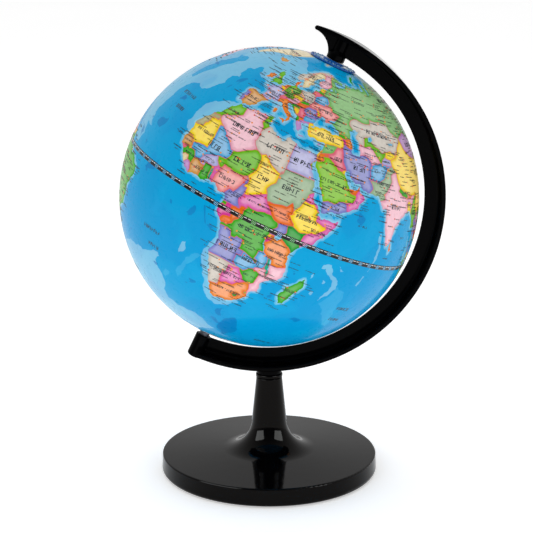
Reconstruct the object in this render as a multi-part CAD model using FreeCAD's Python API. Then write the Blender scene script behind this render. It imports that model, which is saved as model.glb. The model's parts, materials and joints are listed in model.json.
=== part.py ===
"""Desktop globe on a stand: every piece as its own solid, one STEP file each.

The frame's origin is the centre of the base's underside, +Z is up, and the
arm lies in the XZ plane with its open side towards -X. Pieces that belong to
the globe's axis are drawn in the polar frame, whose origin is the globe's
centre and whose Z runs to the north pole, and are then leaned into place.
"""
import FreeCAD, Part
import os
from math import cos, radians, sin, tan

V = FreeCAD.Vector

# ---- driving dimensions, millimetres and degrees -------------------------
GLOBE_R = 100.0            # printed surface of the ball
GLOBE_Z = 192.4            # height of the ball's centre
POLE_TILT = 25.0           # lean of the polar axis towards +X

SKIN_T = 0.3               # printed skin on the shells
SHELL_T = 1.8              # moulded half shells
TAPE_T = 0.15              # tape over the equator seam
TAPE_W = 3.0
JOINER_T = 1.6             # inner hoop that joins the two shells
JOINER_HALF_W = 6.0
NORTH_SEAT = 98.2          # flat on the ball that the dial sits on
SOUTH_SEAT = 99.6          # small flat under the south bush

ARM_CENTRE = V(-1.9, 0, -0.3)   # centre of the arm's ring, in the polar frame
ARM_OUT_R = 118.6
ARM_IN_R = 105.6
FLANGE_T = 3.1
FLANGE_HALF_W = 13.85
FLANGE_EDGE_R = 0.8
WEB_HALF_T = 1.1
WEB_ROOT_R = 1.4
BEAK_START = 9.0           # angle from the polar frame's Z where the beak begins
BEAK_TIP = -8.6            # and where it ends
BEAK_TIP_R = 1.5
BEAK_STEPS = 7             # stages in which the flange narrows to the tip
BEAK_LIP = V(1.6, 0, -1.5)      # from the tip's middle to where the hollow underside begins
BEAK_HOLLOW = (V(-14.6, 0, 113.1), V(-9.8, 0, 109.9), V(-7.3, 0, 106.5))
BEAK_FOOT = V(-5.5, 0, 101.8)   # where the hollow runs out in the north boss
ARM_END = 178.8            # angle of the arm's lower end

NORTH_BOSS_R = 6.1
NORTH_BOSS_Z = 101.2       # lower face of the north boss
NORTH_BOSS_STEP = 105.2    # the boss narrows above this
PIN_HOUSING_R = 4.4
SOUTH_BOSS_R = 5.3
SOUTH_BOSS_END = 122.0

PIN_R = 2.0
PIN_FIT = 0.05             # radial clearance of the pins in their bushes
PIN_PRESSED = 12.5         # length of each pin inside the arm
PIN_SPARE = 0.5            # room past the pin in its blind hole
PIN_THROUGH = 1.5          # how far each pin reaches past its bush
SHOULDER_R = 3.5
THRUST_R = 5.5
THRUST_T = 0.8

BUSH_LENGTH = 9.0
BUSH_R = 4.6
BUSH_FLANGE_R = 6.4
NORTH_FLANGE_T = 1.1
SOUTH_FLANGE_T = 1.0
DIAL_SPIGOT_R = 4.0
SPIGOT_TOP = 100.6         # top of the bush's spigot, which the dial turns on
GAP = 0.3                  # clearance between pieces that move past each other

DIAL_R = 16.3
DIAL_T = 1.2
DIAL_COLLAR_R = 7.5
DIAL_TICKS = 24
DIAL_LIFT = 0.25           # the dial's underside above the ball's flat
TICK_IN_R = 14.5
TICK_SIZE = V(1.1, 0.4, 0.35)

BASE_R = 74.6              # foot of the rim
BASE_TOP_R = 73.9          # top of the rim
RIM_TOP_Z = 13.3
RIM_FOOT_Z = 0.6
BASE_WALL = 2.4
BASE_CONE = 0.06           # rise of the base's top per millimetre inwards
FLARE_R = 21.0             # sweep from the base's top into the stem
STEM_TOP_R = 8.85
STEM_TOP_Z = 67.0
STEM_DRAFT = 0.103         # growth of the stem's radius per millimetre downwards
COLLAR_R = 9.2
COLLAR_T = 2.8
COLLAR_EDGE_R = 0.9
NECK_R = 8.5

SOCKET_FLOOR_Z = 40.0      # the stem's socket for the arm's spigot
STEM_CAVITY_Z = 36.0
SPIGOT_R = 6.5
SOCKET_FIT = 0.1
KEY_REACH = 7.2
KEY_HALF_W = 1.0
KEY_LENGTH = 16.0
KEY_RISE = 4.5             # the key's foot above the socket's floor

PAD_T = 1.0
PAD_R = 68.5
COVER_T = 1.8
COVER_R = 71.0
COVER_SCREWS = 4
SCREW_PCR = 48.0           # radius of the circle that the cover screws lie on
SCREW_R = 1.5
SCREW_BOSS_R = 4.0
WEIGHT_IN_R = 26.0
WEIGHT_OUT_R = 65.5
WEIGHT_T = 6.4

STEM_SCREW_R = 2.4
STEM_SCREW_HEAD_R = 4.6
STEM_SCREW_HEAD_T = 3.0
STEM_SCREW_SHANK = 27.0
STEM_SCREW_POINT = 3.0
WASHER_R = 7.0
WASHER_T = 1.2


# ---- small drawing helpers ------------------------------------------------
def corner_arc(before, corner, after, radius):
    """Arc of the given radius tangent to both legs at a corner, with its two ends."""
    leg_in = (before - corner).normalize()
    leg_out = (after - corner).normalize()
    half = leg_in.getAngle(leg_out) / 2
    reach = radius / tan(half)
    start = corner + leg_in * reach
    end = corner + leg_out * reach
    bisector = (leg_in + leg_out).normalize()
    middle = corner + bisector * (radius / sin(half) - radius)
    return start, end, Part.Arc(start, middle, end).toShape()


def rounded_wire(corners):
    """Closed wire through (point, radius) corners, each corner rounded by its radius."""
    points = [point for point, _ in corners]
    count = len(corners)
    pieces = []
    for index, (point, radius) in enumerate(corners):
        if radius > 0:
            pieces.append(corner_arc(points[index - 1], point, points[(index + 1) % count], radius))
        else:
            pieces.append((point, point, None))
    edges = []
    for index, (_, end, arc) in enumerate(pieces):
        following = pieces[(index + 1) % count][0]
        if arc is not None:
            edges.append(arc)
        if end.distanceToPoint(following) > 1e-6:
            edges.append(Part.LineSegment(end, following).toShape())
    return Part.Wire(edges)


def lathe(corners):
    """Turn an (r, z, corner radius) outline about the Z axis."""
    wire = rounded_wire([(V(r, 0, z), radius) for r, z, radius in corners])
    return Part.Face(wire).revolve(V(0, 0, 0), V(0, 0, 1), 360)


def disc(radius, low, high, x=0.0, y=0.0):
    """Upright cylinder between two heights."""
    return Part.makeCylinder(radius, high - low, V(x, y, low))


def ball(radius, low, high):
    """Solid ball about the origin, kept between two heights."""
    sphere = Part.makeSphere(radius)
    slab = Part.makeBox(4 * radius, 4 * radius, high - low, V(-2 * radius, -2 * radius, low))
    return sphere.common(slab)


def around(count, radius, start):
    """Points evenly spaced on a circle about the origin."""
    for index in range(count):
        turn = radians(start + 360.0 * index / count)
        yield radius * cos(turn), radius * sin(turn)


def lean(shape):
    """Move a shape from the polar frame into the object's frame."""
    placed = shape.copy()
    placed.rotate(V(0, 0, 0), V(0, 1, 0), POLE_TILT)
    placed.translate(V(0, 0, GLOBE_Z))
    return placed


def upright(shape):
    """Move a shape from the object's frame into the polar frame."""
    placed = shape.copy()
    placed.translate(V(0, 0, -GLOBE_Z))
    placed.rotate(V(0, 0, 0), V(0, 1, 0), -POLE_TILT)
    return placed


def one_solid(shape):
    """The single solid of a boolean's result, with its seams merged."""
    clean = shape.removeSplitter()
    solids = clean.Solids
    if len(solids) != 1:
        raise ValueError("expected one solid, found %d" % len(solids))
    return solids[0]


# ---- the base -------------------------------------------------------------
def stem_radius(z):
    return STEM_TOP_R + STEM_DRAFT * (STEM_TOP_Z - z)


def base_top(r):
    return RIM_TOP_Z + BASE_CONE * (BASE_TOP_R - r)


def base_outline(inset):
    """Where the stem's side meets the base's top, both moved inwards by the wall."""
    r = stem_radius(base_top(0)) - inset
    return r, base_top(r) - inset


def base_pedestal():
    """Hollow foot and stem in one moulding, with the socket and the screw bosses."""
    flare_r, flare_z = base_outline(0)
    skin = lathe([
        (0, RIM_FOOT_Z, 0),
        (BASE_R, RIM_FOOT_Z, 3.0),
        (BASE_TOP_R, RIM_TOP_Z, 1.0),
        (flare_r, flare_z, FLARE_R),
        (STEM_TOP_R, STEM_TOP_Z, 0.5),
        (0, STEM_TOP_Z, 0),
    ])
    hollow_r, hollow_z = base_outline(BASE_WALL)
    ledge_r = COVER_R - 2.0
    hollow = lathe([
        (0, 0, 0),
        (ledge_r, 0, 0),
        (ledge_r, base_top(ledge_r) - BASE_WALL, 1.5),
        (hollow_r, hollow_z, FLARE_R + BASE_WALL),
        (stem_radius(STEM_CAVITY_Z) - BASE_WALL, STEM_CAVITY_Z, 1.0),
        (0, STEM_CAVITY_Z, 0),
    ])
    cover_seat = disc(COVER_R + 0.2, 0, PAD_T + COVER_T)
    socket = disc(SPIGOT_R + SOCKET_FIT, SOCKET_FLOOR_Z, STEM_TOP_Z + 1)
    key_way = Part.makeBox(KEY_REACH + 0.15, 2 * (KEY_HALF_W + SOCKET_FIT), STEM_TOP_Z,
                           V(0, -KEY_HALF_W - SOCKET_FIT, SOCKET_FLOOR_Z + KEY_RISE - 0.5))
    screw_way = disc(STEM_SCREW_R + 0.4, STEM_CAVITY_Z - 1, SOCKET_FLOOR_Z + 1)
    shell = skin.cut([hollow, cover_seat, socket, key_way, screw_way])
    boss_foot = PAD_T + COVER_T
    for x, y in around(COVER_SCREWS, SCREW_PCR, 45):
        roof = base_top(SCREW_PCR) - BASE_WALL / 2
        shell = shell.fuse(disc(SCREW_BOSS_R, boss_foot, roof, x, y))
        shell = shell.cut(disc(SCREW_R + 0.05, boss_foot, roof - 2.4, x, y))
    return one_solid(shell)


def base_weight():
    """Steel ring lying on the cover, with a hole for each screw boss."""
    low = PAD_T + COVER_T
    ring = lathe([
        (WEIGHT_IN_R, low, 0.6),
        (WEIGHT_OUT_R, low, 0.6),
        (WEIGHT_OUT_R, low + WEIGHT_T, 0.6),
        (WEIGHT_IN_R, low + WEIGHT_T, 0.6),
    ])
    for x, y in around(COVER_SCREWS, SCREW_PCR, 45):
        ring = ring.cut(disc(SCREW_BOSS_R + 0.6, 0, 20, x, y))
    return one_solid(ring)


def countersink(x, y, radius, low, high):
    """Screw head's cone at the foot, and the hole above it."""
    head_r = 2 * radius
    cone = Part.makeCone(head_r, radius, radius, V(x, y, low), V(0, 0, 1))
    return cone.fuse(disc(radius, low, high, x, y))


def base_cover():
    """Flat plate that closes the foot."""
    plate = disc(COVER_R, PAD_T, PAD_T + COVER_T)
    for x, y in around(COVER_SCREWS, SCREW_PCR, 45):
        plate = plate.cut(countersink(x, y, SCREW_R + 0.1, PAD_T - 0.1, 10))
    return one_solid(plate)


def cover_screws():
    """Countersunk self-tapping screws with a cross slot, heads flush with the cover."""
    screws = []
    slot_half = 0.35
    for x, y in around(COVER_SCREWS, SCREW_PCR, 45):
        screw = countersink(x, y, SCREW_R, PAD_T, PAD_T + 9.5)
        for long_x, long_y in ((1.7, slot_half), (slot_half, 1.7)):
            slot = Part.makeBox(2 * long_x, 2 * long_y, 0.9, V(x - long_x, y - long_y, PAD_T - 0.1))
            screw = screw.cut(slot)
        screws.append(one_solid(screw))
    return Part.makeCompound(screws)


def base_pad():
    """Soft non-slip sheet under the cover, which the globe stands on."""
    return disc(PAD_R, 0, PAD_T)


def stem_screw():
    """Long screw that pulls the arm's spigot down into the stem."""
    top = STEM_CAVITY_Z - WASHER_T
    head = lathe([
        (0, top - STEM_SCREW_HEAD_T, 0),
        (STEM_SCREW_HEAD_R, top - STEM_SCREW_HEAD_T, 1.0),
        (STEM_SCREW_HEAD_R, top, 0),
        (0, top, 0),
    ])
    shank = lathe([
        (0, top, 0),
        (STEM_SCREW_R, top, 0),
        (STEM_SCREW_R, top + STEM_SCREW_SHANK - STEM_SCREW_POINT, 1.6),
        (0, top + STEM_SCREW_SHANK, 0),
    ])
    screw = head.fuse(shank)
    for long_x, long_y in ((2.6, 0.5), (0.5, 2.6)):
        slot = Part.makeBox(2 * long_x, 2 * long_y, 1.6, V(-long_x, -long_y, top - STEM_SCREW_HEAD_T - 0.1))
        screw = screw.cut(slot)
    return one_solid(screw)


def stem_washer():
    """Washer between the stem screw's head and the web it pulls on."""
    washer = disc(WASHER_R, STEM_CAVITY_Z - WASHER_T, STEM_CAVITY_Z)
    return washer.cut(disc(STEM_SCREW_R + 0.3, 0, 60))


def stem_collar():
    """Ring between the stem's mouth and the arm's neck."""
    low, high = STEM_TOP_Z, STEM_TOP_Z + COLLAR_T
    inner = SPIGOT_R + 0.15
    return lathe([(inner, low, 0), (COLLAR_R, low, COLLAR_EDGE_R), (COLLAR_R, high, COLLAR_EDGE_R),
                  (inner, high, 0)])


# ---- the arm ----------------------------------------------------------------
def on_ring(angle, radius):
    """Point on the arm's ring; the angle runs from the polar frame's Z towards +X."""
    turn = radians(angle)
    return ARM_CENTRE + V(radius * sin(turn), 0, radius * cos(turn))


def turned_about_arm(shape, angle):
    placed = shape.copy()
    placed.rotate(ARM_CENTRE, V(0, 1, 0), angle)
    return placed


def arm_section():
    """T section at angle 0: a wide outer flange and a thin web towards the globe."""
    flange_in = ARM_OUT_R - FLANGE_T
    half = [
        (ARM_OUT_R, FLANGE_HALF_W, FLANGE_EDGE_R),
        (flange_in, FLANGE_HALF_W, FLANGE_EDGE_R),
        (flange_in, WEB_HALF_T, WEB_ROOT_R),
        (ARM_IN_R, WEB_HALF_T, 0.5),
    ]
    mirrored = [(r, -y, radius) for r, y, radius in reversed(half)]
    corners = [(ARM_CENTRE + V(0, y, r), radius) for r, y, radius in half + mirrored]
    return Part.Face(rounded_wire(corners))


def beak_section(half_width, angle):
    """Rounded bar across the flange, standing at an angle on the ring."""
    outer, inner = ARM_OUT_R, ARM_OUT_R - FLANGE_T
    corners = [(outer, half_width), (inner, half_width), (inner, -half_width), (outer, -half_width)]
    wire = rounded_wire([(ARM_CENTRE + V(0, y, r), FLANGE_EDGE_R) for r, y in corners])
    return turned_about_arm(wire, angle)


def beak_flange():
    """The flange narrows over the pole to the beak's rounded tip."""
    sections = []
    for index in range(BEAK_STEPS + 1):
        share = index / BEAK_STEPS
        ease = 1 - share * share * (3 - 2 * share)
        half_width = BEAK_TIP_R + (FLANGE_HALF_W - BEAK_TIP_R) * ease
        angle = BEAK_START + (BEAK_TIP - BEAK_START) * share
        sections.append(beak_section(half_width, angle))
    bar = Part.makeLoft(sections, True, False)
    tip = Part.makeSphere(BEAK_TIP_R, on_ring(BEAK_TIP, ARM_OUT_R - FLANGE_T / 2))
    return bar.fuse(tip)


def beak_web():
    """Plate under the beak: hollowed from the tip down to the north boss."""
    flange_mid = ARM_OUT_R - FLANGE_T / 2
    tip = on_ring(BEAK_TIP, flange_mid)
    hollow = Part.BSplineCurve()
    hollow.interpolate([tip + BEAK_LIP, *BEAK_HOLLOW, BEAK_FOOT])
    right = on_ring(BEAK_START, ARM_IN_R)
    lower_right = V(NORTH_BOSS_R, 0, BEAK_FOOT.z)
    boss_corner = V(NORTH_BOSS_R, 0, NORTH_BOSS_STEP)
    crown = Part.Arc(on_ring(BEAK_START, flange_mid), on_ring(0, flange_mid), tip)
    edges = [
        hollow.toShape(),
        Part.LineSegment(BEAK_FOOT, lower_right).toShape(),
        Part.LineSegment(lower_right, boss_corner).toShape(),
        Part.LineSegment(boss_corner, right).toShape(),
        Part.LineSegment(right, on_ring(BEAK_START, flange_mid)).toShape(),
        crown.toShape(),
        Part.LineSegment(tip, tip + BEAK_LIP).toShape(),
    ]
    plate = Part.Face(Part.Wire(Part.__sortEdges__(edges))).extrude(V(0, 2 * WEB_HALF_T, 0))
    plate.translate(V(0, -WEB_HALF_T, 0))
    return plate


def arm_bosses():
    """Bosses for the two pins: a stepped one at the north, a round-ended one at the south."""
    north = lathe([
        (0, NORTH_BOSS_Z, 0),
        (NORTH_BOSS_R, NORTH_BOSS_Z, 0.5),
        (NORTH_BOSS_R, NORTH_BOSS_STEP, 1.2),
        (PIN_HOUSING_R, NORTH_BOSS_STEP + 2.5, 1.0),
        (PIN_HOUSING_R, ARM_OUT_R - FLANGE_T / 2, 0),
        (0, ARM_OUT_R - FLANGE_T / 2, 0),
    ])
    south = lathe([
        (0, -SOUTH_BOSS_END, 0),
        (SOUTH_BOSS_R, -SOUTH_BOSS_END, 1.4),
        (SOUTH_BOSS_R, -ARM_IN_R, 0.5),
        (0, -ARM_IN_R, 0),
    ])
    return [north, south]


def arm_spigot():
    """Neck under the arm and the keyed spigot that enters the stem."""
    neck_top = GLOBE_Z - ARM_OUT_R + 2.6
    shoulder_z = STEM_TOP_Z + COLLAR_T
    foot_z = SOCKET_FLOOR_Z + 0.3
    outline = [
        (0, foot_z, 0),
        (SPIGOT_R, foot_z, 0.8),
        (SPIGOT_R, shoulder_z, 0),
        (NECK_R, shoulder_z, 0.4),
        (NECK_R, neck_top, 0),
        (0, neck_top, 0),
    ]
    key = Part.makeBox(KEY_REACH, 2 * KEY_HALF_W, KEY_LENGTH, V(0, -KEY_HALF_W, SOCKET_FLOOR_Z + KEY_RISE))
    body = lathe(outline).fuse(key)
    screw_top = STEM_CAVITY_Z - WASHER_T + STEM_SCREW_SHANK
    return body.cut(disc(STEM_SCREW_R + 0.05, 0, screw_top + 1.2))


def meridian_arm():
    """T-section arm from the beak over the north pole round to the south boss, with its spigot."""
    start = turned_about_arm(arm_section(), BEAK_START)
    ring = start.revolve(ARM_CENTRE, V(0, 1, 0), ARM_END - BEAK_START)
    body = ring.fuse([beak_flange(), beak_web()] + arm_bosses())
    hole = PIN_PRESSED + PIN_SPARE
    body = body.cut([
        disc(PIN_R, NORTH_BOSS_Z - 1, NORTH_BOSS_Z + hole),
        disc(PIN_R, -ARM_IN_R - hole, -ARM_IN_R + 1),
    ])
    body = body.fuse(upright(arm_spigot()))
    return one_solid(lean(body))


# ---- pins, bushes and dial -----------------------------------------------
def north_pin():
    """Steel pin pressed into the arm; the globe's north bush turns on it."""
    pressed = NORTH_BOSS_Z + PIN_PRESSED
    foot = NORTH_SEAT - SKIN_T - BUSH_LENGTH - PIN_THROUGH
    return lathe([(0, foot, 0), (PIN_R, foot, 0.6), (PIN_R, pressed, 0.4), (0, pressed, 0)])


def south_pin():
    """Shouldered steel pin that carries the globe's weight."""
    pressed = -ARM_IN_R - PIN_PRESSED
    shoulder = -SOUTH_SEAT - SOUTH_FLANGE_T - PIN_FIT - THRUST_T
    tip = -SOUTH_SEAT + SKIN_T + BUSH_LENGTH + PIN_THROUGH
    return lathe([
        (0, pressed, 0),
        (PIN_R, pressed, 0.4),
        (PIN_R, -ARM_IN_R, 0),
        (SHOULDER_R, -ARM_IN_R, 0),
        (SHOULDER_R, shoulder, 0.3),
        (PIN_R, shoulder, 0),
        (PIN_R, tip, 0.6),
        (0, tip, 0),
    ])


def thrust_washer():
    """Nylon washer on the south pin's shoulder, under the south bush."""
    high = -SOUTH_SEAT - SOUTH_FLANGE_T - PIN_FIT
    return disc(THRUST_R, high - THRUST_T, high).cut(disc(PIN_R + 0.1, high - 2, high + 1))


def north_bush():
    """Flanged bush in the north shell; its spigot carries the dial."""
    seat = NORTH_SEAT - SKIN_T
    bore_r = PIN_R + PIN_FIT
    return lathe([
        (bore_r, seat - BUSH_LENGTH, 0.3),
        (BUSH_R, seat - BUSH_LENGTH, 0.6),
        (BUSH_R, seat, 0),
        (BUSH_FLANGE_R, seat, 0),
        (BUSH_FLANGE_R, seat + NORTH_FLANGE_T, 0.3),
        (DIAL_SPIGOT_R, seat + NORTH_FLANGE_T, 0),
        (DIAL_SPIGOT_R, SPIGOT_TOP, 0.3),
        (bore_r, SPIGOT_TOP, 0.2),
    ])


def south_bush():
    """Flanged bush in the south shell."""
    seat = -SOUTH_SEAT + SKIN_T
    flange = -SOUTH_SEAT - SOUTH_FLANGE_T
    bore_r = PIN_R + PIN_FIT
    return lathe([
        (bore_r, flange, 0.2),
        (BUSH_FLANGE_R, flange, 0.4),
        (BUSH_FLANGE_R, seat, 0),
        (BUSH_R, seat, 0),
        (BUSH_R, seat + BUSH_LENGTH, 0.6),
        (bore_r, seat + BUSH_LENGTH, 0.3),
    ])


def time_dial():
    """Dial with a raised collar and hour ticks, turning on the north bush's spigot."""
    low = NORTH_SEAT + DIAL_LIFT
    face = low + DIAL_T
    collar_top = NORTH_BOSS_Z - GAP
    recess = NORTH_SEAT - SKIN_T + NORTH_FLANGE_T + 0.1
    bore_r = DIAL_SPIGOT_R + PIN_FIT
    body = lathe([
        (bore_r, recess, 0),
        (BUSH_FLANGE_R + GAP, recess, 0),
        (BUSH_FLANGE_R + GAP, low, 0),
        (DIAL_R, low, 0.5),
        (DIAL_R, face, 0.5),
        (DIAL_COLLAR_R, face, 0.4),
        (DIAL_COLLAR_R, collar_top, 0.4),
        (bore_r, collar_top, 0.2),
    ])
    for index in range(DIAL_TICKS):
        foot = V(TICK_IN_R, -TICK_SIZE.y / 2, face - DIAL_LIFT)
        tick = Part.makeBox(TICK_SIZE.x, TICK_SIZE.y, TICK_SIZE.z + DIAL_LIFT, foot)
        tick.rotate(V(0, 0, 0), V(0, 0, 1), 360.0 * index / DIAL_TICKS)
        body = body.fuse(tick)
    return one_solid(body)


# ---- the ball --------------------------------------------------------------
def half_ball_wall(outer_r, thickness, north, seat, hole_r):
    """Half of a spherical wall with a flat at its pole and a hole for the bush."""
    outer = ball(outer_r, 0, seat)
    inner = ball(outer_r - thickness, -1, seat - thickness)
    wall = outer.cut([inner, disc(hole_r, seat / 2, seat + 1)])
    if not north:
        wall.rotate(V(0, 0, 0), V(1, 0, 0), 180)
    return one_solid(wall)


def shell(north, seat):
    return half_ball_wall(GLOBE_R - SKIN_T, SHELL_T, north, seat - SKIN_T, BUSH_R + 0.05)


def printed_skin(north, seat):
    return half_ball_wall(GLOBE_R, SKIN_T, north, seat, BUSH_FLANGE_R + 0.1)


def zone(outer_r, thickness, half_width):
    """Spherical band about the equator."""
    band = ball(outer_r, -half_width, half_width)
    return band.cut(ball(outer_r - thickness, -half_width - 1, half_width + 1))


NODES = {
    "base_pedestal": base_pedestal,
    "base_weight": base_weight,
    "base_cover": base_cover,
    "cover_screws": cover_screws,
    "base_pad": base_pad,
    "stem_screw": stem_screw,
    "stem_washer": stem_washer,
    "stem_collar": stem_collar,
    "meridian_arm": meridian_arm,
    "north_pin": lambda: lean(north_pin()),
    "south_pin": lambda: lean(south_pin()),
    "thrust_washer": lambda: lean(thrust_washer()),
    "north_bush": lambda: lean(north_bush()),
    "south_bush": lambda: lean(south_bush()),
    "north_shell": lambda: lean(shell(True, NORTH_SEAT)),
    "south_shell": lambda: lean(shell(False, SOUTH_SEAT)),
    "shell_joiner": lambda: lean(zone(GLOBE_R - SKIN_T - SHELL_T, JOINER_T, JOINER_HALF_W)),
    "north_map_skin": lambda: lean(printed_skin(True, NORTH_SEAT)),
    "south_map_skin": lambda: lean(printed_skin(False, SOUTH_SEAT)),
    "equator_tape": lambda: lean(zone(GLOBE_R + TAPE_T, TAPE_T, TAPE_W / 2)),
    "time_dial": lambda: lean(time_dial()),
}

os.makedirs("parts", exist_ok=True)
for name, make in NODES.items():
    shape = make()
    if not shape.isValid():
        raise ValueError(name + " is not a valid shape")
    shape.exportStep("parts/" + name + ".step")
    print("%-16s %9.1f mm3" % (name, shape.Volume))
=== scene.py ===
"""Finish of a desktop globe on its stand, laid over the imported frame.

The ball wears two printed map skins, one for each half, with an equator tape over their join.
The hour dial has raised numerals. The stand is gloss black moulding over a weighted base.
"""

import json
import math

import bpy
import numpy as np
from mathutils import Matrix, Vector
from mathutils.geometry import delaunay_2d_cdt


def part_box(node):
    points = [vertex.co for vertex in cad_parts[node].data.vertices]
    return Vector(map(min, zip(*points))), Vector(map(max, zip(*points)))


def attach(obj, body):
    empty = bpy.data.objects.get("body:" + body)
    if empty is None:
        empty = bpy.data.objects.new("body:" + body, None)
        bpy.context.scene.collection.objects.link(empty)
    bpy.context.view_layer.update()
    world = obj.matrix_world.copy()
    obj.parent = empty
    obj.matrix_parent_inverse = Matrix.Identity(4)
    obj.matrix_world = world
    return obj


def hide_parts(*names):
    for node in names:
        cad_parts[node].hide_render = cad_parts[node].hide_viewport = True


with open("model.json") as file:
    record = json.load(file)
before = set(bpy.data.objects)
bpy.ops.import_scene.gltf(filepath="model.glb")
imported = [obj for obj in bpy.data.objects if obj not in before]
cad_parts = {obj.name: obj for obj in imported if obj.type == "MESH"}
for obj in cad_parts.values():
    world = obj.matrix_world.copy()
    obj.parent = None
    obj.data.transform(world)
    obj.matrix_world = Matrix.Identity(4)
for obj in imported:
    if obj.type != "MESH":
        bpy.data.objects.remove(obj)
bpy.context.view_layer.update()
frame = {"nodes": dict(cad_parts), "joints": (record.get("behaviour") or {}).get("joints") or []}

bl_info = {
    "name": "Desktop Globe Finish",
    "version": (1, 0, 0),
    "blender": (4, 5, 0),
    "location": "3D View > Sidebar > Globe",
    "description": "Printed map, dial, stand finishes and studio for a desktop globe",
    "category": "Object",
}

MM = 0.001

# ---- places taken from the frame; lengths are in millimetres unless a comment says otherwise -----
SPIN = next(joint for joint in frame["joints"] if joint["name"] == "globe_spin")
CENTRE = Vector(SPIN["pos_m"])                 # middle of the ball, in metres
TILT = math.atan2(SPIN["axis"][0], SPIN["axis"][2])   # lean of the pole axis towards +X
LOW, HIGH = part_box("north_map_skin")
BALL_R = round((HIGH.y - LOW.y) / 2 / MM, 2)   # radius of the printed ball
DEGREE = math.pi * BALL_R / 180                # length of one degree of latitude on the ball
SKIN_T = 0.3                                   # thickness of the printed skin
NORTH_FLAT = 98.2                              # height of the flat seat round the north pole
SOUTH_FLAT = 99.6                              # depth of the flat seat round the south pole
SKIN_HOLE_R = 6.5                              # hole in the skin at each pole
TAPE_T, TAPE_W = 0.15, 3.0                     # equator tape
TAPE_MARKS = 72                                # blocks of the scale printed round the tape
TAPE_MARGIN = 1.2                              # lettering keeps this far from the tape's edge
DIAL_FACE = 99.65                              # top of the hour dial's disc, above the ball's middle
NUMERAL_RISE = 0.35                            # how far the numerals stand up from it
NUMERAL_SUNK = 0.02                            # how far they reach into it
NUMERAL_RING_R = 12.0                          # radius of the ring of numerals
NUMERAL_WIDTH = (0.82, 0.60)                   # how narrow an hour of one figure is, and one of two
HOURS = 24                                     # numerals round the dial, twice one to twelve
FONT_SHARE = 1.35                              # size of the font over the height of its figures

# ---- how the map is drawn ---------------------------------------------------------
FACING = 28.8                                  # longitude that faces the front, in degrees
FINE = 1.0                                     # spacing of the map's own grid, in degrees
OUTLINE_STEP = 2.0                             # longest side of an outline in the net, in degrees
BORDER_STEP = 0.7                              # the same, where land looks for its nearest country
SEAM = 179.9                                   # past this longitude a point lies on the map's seam
FADE = 9.0                                     # farthest distance from a line that the print needs
COAST_SWAY, BORDER_SWAY = 0.16, 0.07           # how far a coast and a border wander from straight
PRINT_PROUD, PRINT_SUNK = 0.03, 0.06           # how far lettering stands out of the skin, and in
EAST_FROM = 38.0                               # longitude that parts the northern lettering in two
LETTER_PITCH = 0.82                            # width of a letter's cell, in cap heights
NAME_WEIGHT, WORD_WEIGHT = 0.095, 0.15         # half thickness of a bar, in cap heights
TOWN_MARK = 0.5                                # half the side of a town's square

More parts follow.
